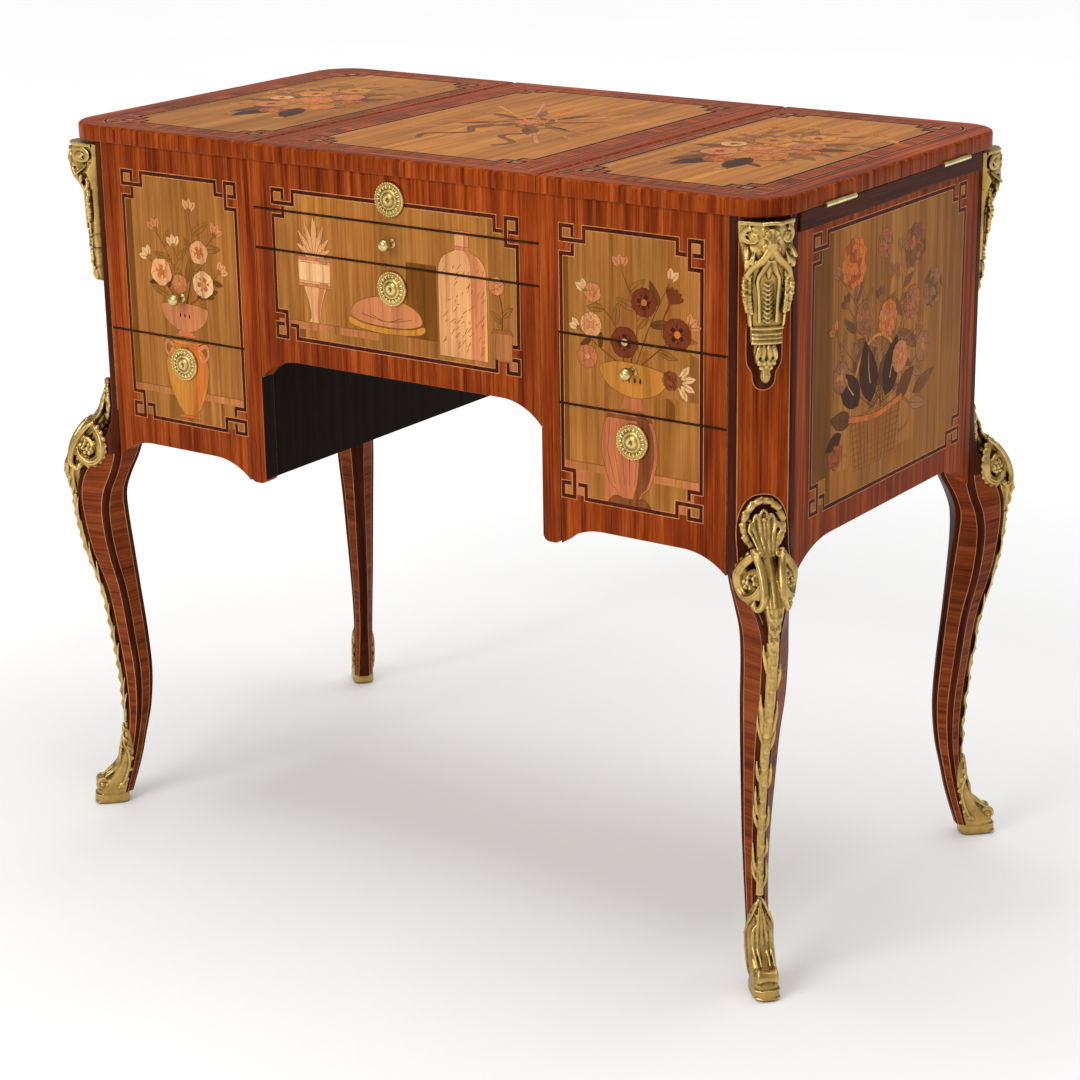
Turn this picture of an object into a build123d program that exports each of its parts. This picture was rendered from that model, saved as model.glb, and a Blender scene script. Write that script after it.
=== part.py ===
"""Poudreuse: a transitional dressing table with three hinged flaps, a pull-out
writing slide, four drawers, canted posts on cabriole legs and gilt bronze mounts.

Frame: X to the right of a person facing the front, -Y the front, +Z up, the
origin on the floor under the middle of the table. All sizes are millimetres.
"""

import math
import os

from build123d import *

# ---------------------------------------------------------------- overall sizes
HEIGHT = 750.0
TOP_WIDTH = 838.0
TOP_DEPTH = 450.0

# ---------------------------------------------------------------- flaps
FLAP_THICKNESS = 17.0
FLAP_CORNER_RADIUS = 42.0
FLAP_SIDE_OVERHANG = 5.0
FLAP_FRONT_OVERHANG = 5.0
FLAP_JOINT_OUTSET = 0.5
FLAP_JOINT_GAP = 1.0
FLAP_SEAT_GAP = 0.4
FLAP_ARRIS_RADIUS = 1.5

# ---------------------------------------------------------------- carcass
FRONT_THICKNESS = 18.0
SIDE_THICKNESS = 16.0
BACK_THICKNESS = 14.0
PARTITION_THICKNESS = 14.0
STILE_WIDTH = 20.0
STILE_INNER_X = 170.0
STILE_BOTTOM_RADIUS = 7.0
STILE_DROP = 1.0
PARTITION_SETBACK = 1.0
PARTITION_RISE = 3.0
POST_CANT = 36.0
POST_STRIP = 8.0
POST_INNER_CHAMFER = 8.0
SIDE_RAIL_HEIGHT = 18.0
SIDE_RAIL_PROUD = 2.5
SIDE_RAIL_RADIUS = 1.2
BOARD_THICKNESS = 8.0
CENTRE_FLOOR_THICKNESS = 6.0

# ---------------------------------------------------------------- heights on the front
PEDESTAL_TIP_Z = 404.0
PEDESTAL_FLAT_Z = 422.0
CENTRE_TIP_Z = 514.0
CENTRE_FLAT_Z = 535.0
SIDE_TIP_Z = 396.0
SIDE_FLAT_Z = 423.0
APRON_EAR = 46.0
SIDE_EAR = 66.0
LOWER_LINE_Z = 540.5
MIDDLE_LINE_Z = 607.0
SLIDE_LOW_Z = 646.5
SLIDE_HIGH_Z = 686.0
FRONT_GAP = 1.0
FRONT_SIDE_GAP = 0.8

# ---------------------------------------------------------------- drawers and slide
DRAWER_SIDE = 9.0
DRAWER_BOTTOM = 6.0
DRAWER_BOTTOM_RISE = 4.0
DRAWER_BACK_DROP = 4.0
DRAWER_LENGTH = 388.0
DRAWER_SIDE_GAP = 1.0
DRAWER_TOP_CLEAR = 5.0
JOINT_GAP = 0.1
SEAT_GAP = 0.3
RUNNER_HEIGHT = 11.7
RUNNER_TOP_Z = 435.7
CENTRE_RUNNER_TOP_Z = 540.7
RUNNER_WIDTH = 14.0
GUIDE_HEIGHT = 12.0
RUNNER_FRONT_GAP = 0.5
SLIDE_BOARD_THICKNESS = 12.0
SLIDE_BOARD_LENGTH = 352.0
SLIDE_BATTEN_HEIGHT = 5.7
SLIDE_BATTEN_WIDTH = 20.0
LEATHER_THICKNESS = 1.0
LEATHER_MARGIN = 22.0

# ---------------------------------------------------------------- brass
HINGE_LENGTH = 55.0
HINGE_Y = 113.0
REAR_HINGE_X = 105.0
BARREL_RADIUS = 2.5
PIN_RADIUS = 1.25
PIN_CLEARANCE = 0.05
BARREL_CLEARANCE = 0.3
KNUCKLE_GAP = 0.3
LEAF_THICKNESS = 1.2
LEAF_WIDTH = 16.0
AXIS_OUTSET = 1.0
AXIS_DROP = 0.2
KNOB_RADIUS = 6.2
KNOB_REACH = 17.0
SHANK_RADIUS = 2.2
SHANK_LENGTH = 12.0
SHANK_CLEARANCE = 0.1
ROSETTE_RADIUS = 17.0
ROSETTE_HEIGHT = 5.5
KEYHOLE_RADIUS = 2.4
LOCK_WIDTH = 44.0
LOCK_HEIGHT = 34.0
LOCK_DEPTH = 8.0
LOCK_ABOVE_KEY = 13.0
PEDESTAL_HANDLE_X = 271.0
CENTRE_KEY_DROP = 22.0
PEDESTAL_KEY_DROP = 26.0
RAIL_KEY_Z = 710.0
SLIDE_KNOB_Z = 668.0
LEFT_KNOB_Z = 583.0
MIDDLE_KNOB_Z = 580.0
KEEP_WIDTH = 10.0
KEEP_THICKNESS = 3.0
KEEP_DROP = 7.0
KEEP_PLATE = 1.5
KEEP_CLEARANCE = 1.2

# ---------------------------------------------------------------- mirror
MIRROR_MARGIN_X = 24.0
MIRROR_MARGIN_FRONT = 42.0
MIRROR_MARGIN_REAR = 38.0
MIRROR_THICKNESS = 3.0
MOULDING_LAP = 6.0
MOULDING_OUTSET = 9.0
MOULDING_HEIGHT = 6.0

# ---------------------------------------------------------------- bronze mounts
CHUTE_TOP_GAP = 3.0
CHUTE_LENGTH = 148.0
CHUTE_HALF_WIDTH = 25.5
CHUTE_HEAD_HEIGHT = 33.0
CHUTE_HEAD_REACH = 26.0
CHUTE_EDGE_REACH = 9.0
CHUTE_BODY_REACH = 13.0
KNEE_HALF_WIDTH = 22.0
KNEE_REACH = 58.0
LEG_MOUNT_WIDTH = 12.0
LEG_MOUNT_REACH = 7.0
LEG_MOUNT_TOP_Z = 352.0
LEG_MOUNT_LOW_Z = 94.0
SABOT_TOP_Z = 92.0
LEG_END_Z = 12.0

# ---------------------------------------------------------------- derived places
CARCASS_TOP = HEIGHT - FLAP_THICKNESS - FLAP_SEAT_GAP
SIDE_X = TOP_WIDTH / 2 - FLAP_SIDE_OVERHANG
FRONT_Y = -(TOP_DEPTH / 2 - FLAP_FRONT_OVERHANG)
BACK_Y = -FRONT_Y
FRONT_INNER_Y = FRONT_Y + FRONT_THICKNESS
BACK_INNER_Y = BACK_Y - BACK_THICKNESS
SIDE_INNER_X = SIDE_X - SIDE_THICKNESS
POST_SIZE = POST_CANT + POST_STRIP
POST_INNER_X = SIDE_X - POST_SIZE
POST_INNER_Y = BACK_Y - POST_SIZE
STILE_OUTER_X = STILE_INNER_X + STILE_WIDTH
FLAP_JOINT_X = STILE_INNER_X + FLAP_JOINT_OUTSET
PARTITION_INNER_X = STILE_INNER_X + PARTITION_SETBACK
PARTITION_OUTER_X = PARTITION_INNER_X + PARTITION_THICKNESS
HINGE_AXIS_Z = CARCASS_TOP + AXIS_DROP
SIDE_AXIS_X = TOP_WIDTH / 2 + AXIS_OUTSET
REAR_AXIS_Y = TOP_DEPTH / 2 + AXIS_OUTSET
FLAP_UNDERSIDE = HEIGHT - FLAP_THICKNESS
LEFT_WELL_Z = LOWER_LINE_Z
RIGHT_WELL_Z = MIDDLE_LINE_Z
CENTRE_WELL_Z = SLIDE_HIGH_Z
MIDDLE_DUST_TOP = LOWER_LINE_Z + BOARD_THICKNESS / 2
CENTRE_DUST_TOP = SLIDE_LOW_Z + CENTRE_FLOOR_THICKNESS / 2
SLIDE_BOARD_Z = CENTRE_DUST_TOP + SLIDE_BATTEN_HEIGHT + SEAT_GAP

# The leg's sections, from the post down: height, then distances out from the
# post's canted face of the inner face, the side arris and the outer face, then
# the widths of the outer face, the side arrises and the inner face.
FACE_WIDTH = POST_CANT * math.sqrt(2)
ARRIS_WIDTH = FACE_WIDTH + POST_STRIP * math.sqrt(2)
ARRIS_OUT = -POST_STRIP / math.sqrt(2)
INNER_OUT = -(POST_CANT / 2 + POST_STRIP) * math.sqrt(2) + POST_INNER_CHAMFER / 2
POST_SECTION = (INNER_OUT, ARRIS_OUT, 0.0, FACE_WIDTH, ARRIS_WIDTH, POST_INNER_CHAMFER)
LEG_TOP_Z = 455.0
LEG_SECTIONS = [
    (LEG_TOP_Z, *POST_SECTION),
    (432.0, INNER_OUT, ARRIS_OUT, 4.0, FACE_WIDTH, ARRIS_WIDTH, 8.0),
    (412.0, -30.5, -4.5, 14.0, FACE_WIDTH, ARRIS_WIDTH, 12.0),
    (396.0, -25.0, -2.0, 27.0, 40.0, 58.0, 20.0),
    (380.0, -17.0, 3.0, 37.0, 26.0, 52.0, 27.0),
    (360.0, -10.5, 11.0, 41.5, 15.0, 46.5, 24.0),
    (335.0, -10.5, 14.0, 40.5, 12.0, 45.0, 16.0),
    (294.0, -14.0, 10.0, 33.5, 11.0, 43.5, 9.0),
    (250.0, -18.0, 1.0, 20.5, 10.5, 38.0, 6.0),
    (195.0, -23.0, -5.0, 12.0, 10.0, 32.4, 6.0),
    (150.0, -25.0, -9.0, 7.0, 9.5, 27.9, 6.0),
    (110.0, -21.5, -8.0, 5.0, 9.5, 24.4, 6.0),
    (80.0, -15.0, -4.0, 6.5, 10.0, 22.9, 6.0),
    (50.0, -8.0, 2.0, 11.5, 12.0, 22.4, 8.0),
    (LEG_END_Z, 4.0, 12.0, 20.0, 14.0, 22.4, 10.0),
]

# The front right corner's own frame, centred on the canted face at floor level:
# OUT points away from the table through the corner and ALONG runs across the face.
CORNER = Vector(SIDE_X - POST_CANT / 2, FRONT_Y + POST_CANT / 2, 0)
OUT = Vector(1, -1, 0).normalized()
ALONG = Vector(1, 1, 0).normalized()
PLAN = Plane(origin=CORNER, x_dir=OUT, z_dir=(0, 0, 1))
FACE = Plane(origin=CORNER, x_dir=ALONG, z_dir=OUT)
PROFILE = Plane(origin=CORNER, x_dir=OUT, z_dir=-ALONG)

FRONT = Plane.XZ.offset(-FRONT_Y)
BACK = Plane(origin=(0, BACK_Y, 0), x_dir=(1, 0, 0), z_dir=(0, -1, 0))
SIDE = Plane(origin=(SIDE_X, 0, 0), x_dir=(0, 1, 0), z_dir=(1, 0, 0))


# ---------------------------------------------------------------- helpers
def board(x, y, z):
    """A square-edged board between pairs of x, y and z limits."""
    with BuildPart() as made:
        with Locations((sum(x) / 2, sum(y) / 2, sum(z) / 2)):
            Box(x[1] - x[0], y[1] - y[0], z[1] - z[0])
    return made.part


def apron_board(plane, left, right, top, flat, tip, ear, depth):
    """A board whose lower edge is cut to a flat arch with an ear at each end."""
    with BuildPart() as made:
        with BuildSketch(plane):
            with BuildLine():
                Polyline((left, tip), (left, top), (right, top), (right, tip))
                TangentArc((right - ear, flat), (right, tip), tangent=(1, 0))
                Line((left + ear, flat), (right - ear, flat))
                TangentArc((left + ear, flat), (left, tip), tangent=(-1, 0))
            make_face()
        extrude(amount=depth)
    return made.part


def cylinder_y(x, z, y, radius):
    """A round bar along Y between two limits."""
    with BuildPart() as made:
        with BuildSketch(Plane(origin=(x, y[0], z), x_dir=(1, 0, 0), z_dir=(0, 1, 0))):
            Circle(radius)
        extrude(amount=y[1] - y[0])
    return made.part


def post_notches():
    """The four square columns that boards inside the carcass are notched round."""
    with BuildPart() as made:
        add(board((POST_INNER_X, SIDE_X), (-BACK_Y, -POST_INNER_Y), (0, CARCASS_TOP)))
        mirror(about=Plane.XZ)
        mirror(about=Plane.YZ)
    return made.part


def knob(x, y, z):
    """A turned knob whose collar seats on the face at y, with its shank behind."""
    collar = KNOB_RADIUS * 0.8
    neck = KNOB_RADIUS * 0.42
    ball_y = -(KNOB_REACH - KNOB_RADIUS)
    with BuildPart() as made:
        with BuildSketch(Plane(origin=(x, y, z), x_dir=(1, 0, 0), z_dir=(0, 0, 1))):
            with BuildLine():
                Polyline(
                    (0, SHANK_LENGTH),
                    (SHANK_RADIUS, SHANK_LENGTH),
                    (SHANK_RADIUS, 0),
                    (collar, 0),
                    (collar, -1.5),
                    (neck, -3.0),
                    (neck, ball_y),
                    (0, ball_y),
                    close=True,
                )
            make_face()
        revolve(axis=Axis((x, y, z), (0, 1, 0)))
        with Locations((x, y + ball_y, z)):
            Sphere(KNOB_RADIUS)
    return made.part


def rosette(x, y, z):
    """A stepped round escutcheon on the face at y, pierced by its keyhole."""
    with BuildPart() as made:
        with BuildSketch(Plane(origin=(x, y, z), x_dir=(1, 0, 0), z_dir=(0, 0, 1))):
            with BuildLine():
                Polyline(
                    (KEYHOLE_RADIUS, 0),
                    (ROSETTE_RADIUS, 0),
                    (ROSETTE_RADIUS, -ROSETTE_HEIGHT * 0.45),
                    (ROSETTE_RADIUS * 0.86, -ROSETTE_HEIGHT * 0.75),
                    (ROSETTE_RADIUS * 0.5, -ROSETTE_HEIGHT * 0.55),
                    (ROSETTE_RADIUS * 0.36, -ROSETTE_HEIGHT),
                    (KEYHOLE_RADIUS, -ROSETTE_HEIGHT * 0.8),
                    close=True,
                )
            make_face()
        revolve(axis=Axis((x, y, z), (0, 1, 0)))
    return made.part


def drawer_lock_z(key_z):
    """The lower and upper limits of a drawer lock's box around its key."""
    return (key_z + LOCK_ABOVE_KEY - LOCK_HEIGHT, key_z + LOCK_ABOVE_KEY)


def lock(x, y, key_z, limits):
    """A lock whose box ends at the plane y, between two heights, with its keyhole."""
    with BuildPart() as made:
        add(board((x - LOCK_WIDTH / 2, x + LOCK_WIDTH / 2), (y - LOCK_DEPTH, y), limits))
        add(cylinder_y(x, key_z, (y - LOCK_DEPTH, y), KEYHOLE_RADIUS), mode=Mode.SUBTRACT)
    return made.part


def lock_seat(x, z):
    """The pocket in a front's back face and the key's hole through the front."""
    pocket_y = (FRONT_INNER_Y - LOCK_DEPTH, FRONT_INNER_Y)
    with BuildPart() as made:
        add(board((x - LOCK_WIDTH / 2, x + LOCK_WIDTH / 2), pocket_y, drawer_lock_z(z)))
        add(cylinder_y(x, z, (FRONT_Y, FRONT_INNER_Y), KEYHOLE_RADIUS))
    return made.part


def shank_hole(x, z):
    """The blind hole that a knob's shank is screwed into."""
    depth = (FRONT_Y, FRONT_Y + SHANK_LENGTH + SHANK_CLEARANCE)
    return cylinder_y(x, z, depth, SHANK_RADIUS + SHANK_CLEARANCE)


def drawer_carcass(x, z):
    """Two sides and a back, as separate boards behind a drawer front."""
    rear = FRONT_INNER_Y + DRAWER_LENGTH
    inner = (x[0] + DRAWER_SIDE, x[1] - DRAWER_SIDE)
    back_z = (z[0] + DRAWER_BOTTOM_RISE + DRAWER_BOTTOM, z[1] - DRAWER_BACK_DROP)
    with BuildPart() as made:
        add(board((x[0], inner[0]), (FRONT_INNER_Y, rear), z))
        add(board((inner[1], x[1]), (FRONT_INNER_Y, rear), z))
        add(board((inner[0] + JOINT_GAP, inner[1] - JOINT_GAP), (rear - DRAWER_SIDE, rear), back_z))
    return made.part


def drawer_bottom(x, z):
    """A drawer's bottom board, between the sides and under the back."""
    rear = FRONT_INNER_Y + DRAWER_LENGTH
    low = z[0] + DRAWER_BOTTOM_RISE
    between_sides = (x[0] + DRAWER_SIDE, x[1] - DRAWER_SIDE)
    return board(between_sides, (FRONT_INNER_Y, rear), (low, low + DRAWER_BOTTOM))


def hinge_leaf(plate_z, knuckles):
    """One leaf of a butt hinge: its pin lies on Y through the origin, and the
    plate runs inwards along -X between the two heights of plate_z."""
    third = HINGE_LENGTH / 3
    half = third / 2 - KNUCKLE_GAP / 2
    edge = -(BARREL_RADIUS + BARREL_CLEARANCE)
    with BuildPart() as leaf:
        add(board((-LEAF_WIDTH, edge), (-HINGE_LENGTH / 2, HINGE_LENGTH / 2), plate_z))
        for knuckle in knuckles:
            span = (knuckle * third - half, knuckle * third + half)
            add(board((edge, 0), span, plate_z))
            add(cylinder_y(0, 0, span, BARREL_RADIUS))
        bore = cylinder_y(0, 0, (-HINGE_LENGTH, HINGE_LENGTH), PIN_RADIUS + PIN_CLEARANCE)
        add(bore, mode=Mode.SUBTRACT)
    return leaf.part


def placed(part, places):
    """Copies of a part, one at each place."""
    with BuildPart() as made:
        for place in places:
            add(part.moved(place))
    return made.part


def outer_at(z):
    """How far the leg's outer face stands out from the post's face at a height."""
    for upper, lower in zip(LEG_SECTIONS, LEG_SECTIONS[1:]):
        if lower[0] <= z <= upper[0]:
            share = (z - lower[0]) / (upper[0] - lower[0])
            return lower[3] + share * (upper[3] - lower[3])
    return 0.0


# ---------------------------------------------------------------- legs
with BuildPart() as leg_front_right:
    for height, inner, arris, outer, outer_width, arris_width, inner_width in LEG_SECTIONS:
        with BuildSketch(PLAN.offset(height)):
            Polygon(
                (outer, -outer_width / 2),
                (outer, outer_width / 2),
                (arris, arris_width / 2),
                (inner, inner_width / 2),
                (inner, -inner_width / 2),
                (arris, -arris_width / 2),
                align=None,
            )
    loft()
    extrude(leg_front_right.faces().sort_by(Axis.Z)[-1], amount=CARCASS_TOP - LEG_TOP_Z)
    joint_z = (SIDE_TIP_Z, CARCASS_TOP)
    beside_post = (POST_INNER_X - POST_SIZE, POST_INNER_X)
    behind_post = (-POST_INNER_Y, -POST_INNER_Y + POST_SIZE)
    reach_y = (FRONT_Y - POST_SIZE, -POST_INNER_Y + POST_SIZE)
    add(board(beside_post, reach_y, joint_z), mode=Mode.SUBTRACT)
    add(board((POST_INNER_X, SIDE_X + POST_SIZE), behind_post, joint_z), mode=Mode.SUBTRACT)

with BuildPart() as leg_front_left:
    mirror(leg_front_right.part, about=Plane.YZ)

with BuildPart() as leg_rear_right:
    mirror(leg_front_right.part, about=Plane.XZ)

with BuildPart() as leg_rear_left:
    mirror(leg_front_left.part, about=Plane.XZ)

# ---------------------------------------------------------------- hinges
FIXED_PLATE_Z = (-AXIS_DROP - LEAF_THICKNESS, -AXIS_DROP)
MOVING_PLATE_Z = (FLAP_UNDERSIDE - HINGE_AXIS_Z, FLAP_UNDERSIDE - HINGE_AXIS_Z + LEAF_THICKNESS)
RIGHT_PLACES = [Location((SIDE_AXIS_X, y, HINGE_AXIS_Z)) for y in (-HINGE_Y, HINGE_Y)]
LEFT_PLACES = [Location((-SIDE_AXIS_X, y, HINGE_AXIS_Z), (0, 0, 180)) for y in (-HINGE_Y, HINGE_Y)]
REAR_PLACES = [Location((x, REAR_AXIS_Y, HINGE_AXIS_Z), (0, 0, 90)) for x in (-REAR_HINGE_X, REAR_HINGE_X)]
HINGE_PLACES = RIGHT_PLACES + LEFT_PLACES + REAR_PLACES

fixed_leaf = hinge_leaf(FIXED_PLATE_Z, (-1, 1))
moving_leaf = hinge_leaf(MOVING_PLATE_Z, (0,))

with BuildPart() as fixed_seat:
    add(board((-LEAF_WIDTH, 0), (-HINGE_LENGTH / 2, HINGE_LENGTH / 2), (FIXED_PLATE_Z[0], 0)))

with BuildPart() as moving_seat:
    add(board((-LEAF_WIDTH, 0), (-HINGE_LENGTH / 2, HINGE_LENGTH / 2), (-1, MOVING_PLATE_Z[1])))
    barrel_span = (-HINGE_LENGTH / 2 - KNUCKLE_GAP, HINGE_LENGTH / 2 + KNUCKLE_GAP)
    add(cylinder_y(0, 0, barrel_span, BARREL_RADIUS + BARREL_CLEARANCE))

with BuildPart() as hinge_leaves_fixed:
    add(placed(fixed_leaf, HINGE_PLACES))

with BuildPart() as hinge_pins:
    pin = cylinder_y(0, 0, (-HINGE_LENGTH / 2, HINGE_LENGTH / 2), PIN_RADIUS)
    add(placed(pin, HINGE_PLACES))

with BuildPart() as flap_right_hinge_leaves:
    add(placed(moving_leaf, RIGHT_PLACES))

with BuildPart() as flap_left_hinge_leaves:
    add(placed(moving_leaf, LEFT_PLACES))

with BuildPart() as flap_centre_hinge_leaves:
    add(placed(moving_leaf, REAR_PLACES))

# ---------------------------------------------------------------- sides and back
with BuildPart() as side_panel_right:
    panel_top = CARCASS_TOP - SIDE_RAIL_HEIGHT
    add(
        apron_board(
            SIDE, -POST_INNER_Y, POST_INNER_Y, panel_top,
            SIDE_FLAT_Z, SIDE_TIP_Z, SIDE_EAR, -SIDE_THICKNESS,
        )
    )

with BuildPart() as side_panel_left:
    mirror(side_panel_right.part, about=Plane.YZ)

with BuildPart() as side_rails:
    rail_y = (-POST_INNER_Y, POST_INNER_Y)
    rail_z = (CARCASS_TOP - SIDE_RAIL_HEIGHT, CARCASS_TOP)
    add(board((SIDE_INNER_X, SIDE_X + SIDE_RAIL_PROUD), rail_y, rail_z))
    fillet(side_rails.faces().sort_by(Axis.X)[-1].edges(), SIDE_RAIL_RADIUS)
    add(placed(fixed_seat.part, RIGHT_PLACES), mode=Mode.SUBTRACT)
    mirror(about=Plane.YZ)

with BuildPart() as back_panels_outer:
    add(
        apron_board(
            BACK, PARTITION_INNER_X, POST_INNER_X, CARCASS_TOP,
            PEDESTAL_FLAT_Z, PEDESTAL_TIP_Z, APRON_EAR, BACK_THICKNESS,
        )
    )
    mirror(about=Plane.YZ)

with BuildPart() as back_panel_centre:
    add(
        apron_board(
            BACK, -PARTITION_INNER_X, PARTITION_INNER_X, CARCASS_TOP,
            CENTRE_FLAT_Z, CENTRE_TIP_Z, APRON_EAR, BACK_THICKNESS,
        )
    )
    add(placed(fixed_seat.part, REAR_PLACES), mode=Mode.SUBTRACT)

with BuildPart() as partitions:
    partition_z = (PEDESTAL_TIP_Z + PARTITION_RISE, CARCASS_TOP)
    add(board((PARTITION_INNER_X, PARTITION_OUTER_X), (FRONT_INNER_Y, BACK_INNER_Y), partition_z))
    mirror(about=Plane.YZ)

# ---------------------------------------------------------------- fixed fronts
with BuildPart() as inner_stiles:
    stile_z = (PEDESTAL_TIP_Z - STILE_DROP, CARCASS_TOP)
    add(board((STILE_INNER_X, STILE_OUTER_X), (FRONT_Y, FRONT_INNER_Y), stile_z))
    stile_foot = inner_stiles.edges().filter_by(Axis.Y).group_by(Axis.Z)[0]
    fillet(stile_foot, STILE_BOTTOM_RADIUS)
    mirror(about=Plane.YZ)

with BuildPart() as front_panel_left:
    panel_z = (LOWER_LINE_Z + FRONT_GAP / 2, CARCASS_TOP)
    add(board((-POST_INNER_X, -STILE_OUTER_X), (FRONT_Y, FRONT_INNER_Y), panel_z))
    add(shank_hole(-PEDESTAL_HANDLE_X, LEFT_KNOB_Z), mode=Mode.SUBTRACT)

with BuildPart() as front_panel_right:
    panel_z = (MIDDLE_LINE_Z + FRONT_GAP / 2, CARCASS_TOP)
    add(board((STILE_OUTER_X, POST_INNER_X), (FRONT_Y, FRONT_INNER_Y), panel_z))

with BuildPart() as front_rail_centre:
    panel_z = (SLIDE_HIGH_Z + FRONT_GAP / 2, CARCASS_TOP)
    add(board((-STILE_INNER_X, STILE_INNER_X), (FRONT_Y, FRONT_INNER_Y), panel_z))
    add(cylinder_y(0, RAIL_KEY_Z, (FRONT_Y, FRONT_INNER_Y), KEYHOLE_RADIUS), mode=Mode.SUBTRACT)

with BuildPart() as knob_left_panel:
    add(knob(-PEDESTAL_HANDLE_X, FRONT_Y, LEFT_KNOB_Z))

with BuildPart() as escutcheon_rail:
    add(rosette(0, FRONT_Y, RAIL_KEY_Z))

with BuildPart() as lock_rail:
    rail_lock_z = (CENTRE_WELL_Z + CENTRE_FLOOR_THICKNESS, CARCASS_TOP)
    add(lock(0, FRONT_INNER_Y + LOCK_DEPTH, RAIL_KEY_Z, rail_lock_z))
    keep_y = FRONT_INNER_Y + LOCK_DEPTH / 2
    slot_half = KEEP_WIDTH / 2 + KEEP_CLEARANCE
    slot_y = (keep_y - KEEP_THICKNESS / 2 - KEEP_CLEARANCE, keep_y + KEEP_THICKNESS / 2 + KEEP_CLEARANCE)
    slot_z = (FLAP_UNDERSIDE - KEEP_DROP - KEEP_CLEARANCE, CARCASS_TOP)
    add(board((-slot_half, slot_half), slot_y, slot_z), mode=Mode.SUBTRACT)

# ---------------------------------------------------------------- floors and rails inside
with BuildPart() as well_floor_left:
    add(
        board(
            (-SIDE_INNER_X, -PARTITION_OUTER_X),
            (FRONT_INNER_Y, BACK_INNER_Y),
            (LEFT_WELL_Z, LEFT_WELL_Z + BOARD_THICKNESS),
        )
    )
    add(post_notches(), mode=Mode.SUBTRACT)

with BuildPart() as well_floor_right:
    add(
        board(
            (PARTITION_OUTER_X, SIDE_INNER_X),
            (FRONT_INNER_Y, BACK_INNER_Y),
            (RIGHT_WELL_Z, RIGHT_WELL_Z + BOARD_THICKNESS),
        )
    )
    add(post_notches(), mode=Mode.SUBTRACT)

with BuildPart() as well_floor_centre:
    add(
        board(
            (-PARTITION_INNER_X, PARTITION_INNER_X),
            (FRONT_INNER_Y, BACK_INNER_Y),
            (CENTRE_WELL_Z, CENTRE_WELL_Z + CENTRE_FLOOR_THICKNESS),
        )
    )

with BuildPart() as dust_boards:
    inside_y = (FRONT_INNER_Y + RUNNER_FRONT_GAP, BACK_INNER_Y)
    dust_z = (MIDDLE_DUST_TOP - BOARD_THICKNESS, MIDDLE_DUST_TOP)
    add(board((PARTITION_OUTER_X, SIDE_INNER_X), inside_y, dust_z))
    add(post_notches(), mode=Mode.SUBTRACT)
    dust_z = (CENTRE_DUST_TOP - CENTRE_FLOOR_THICKNESS, CENTRE_DUST_TOP)
    add(board((-PARTITION_INNER_X, PARTITION_INNER_X), inside_y, dust_z))

with BuildPart() as drawer_runners:
    side_y = (-POST_INNER_Y, POST_INNER_Y)
    runner_z = (RUNNER_TOP_Z - RUNNER_HEIGHT, RUNNER_TOP_Z)
    guide_z = (RUNNER_TOP_Z, RUNNER_TOP_Z + GUIDE_HEIGHT)
    add(board((POST_INNER_X - RUNNER_WIDTH, SIDE_INNER_X), side_y, runner_z))
    add(board((POST_INNER_X, SIDE_INNER_X), side_y, guide_z))
    add(board((PARTITION_OUTER_X, STILE_OUTER_X + RUNNER_WIDTH), inside_y, runner_z))
    add(board((PARTITION_OUTER_X, STILE_OUTER_X), inside_y, guide_z))
    centre_z = (CENTRE_RUNNER_TOP_Z - RUNNER_HEIGHT, CENTRE_RUNNER_TOP_Z)
    add(board((PARTITION_INNER_X - RUNNER_WIDTH, PARTITION_INNER_X), inside_y, centre_z))
    batten_z = (CENTRE_DUST_TOP, CENTRE_DUST_TOP + SLIDE_BATTEN_HEIGHT)
    add(board((PARTITION_INNER_X - SLIDE_BATTEN_WIDTH, PARTITION_INNER_X), inside_y, batten_z))
    mirror(about=Plane.YZ)
    middle_z = (MIDDLE_DUST_TOP, MIDDLE_DUST_TOP + GUIDE_HEIGHT)
    add(board((POST_INNER_X, SIDE_INNER_X), side_y, middle_z))
    add(board((PARTITION_OUTER_X, STILE_OUTER_X), inside_y, middle_z))

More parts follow.
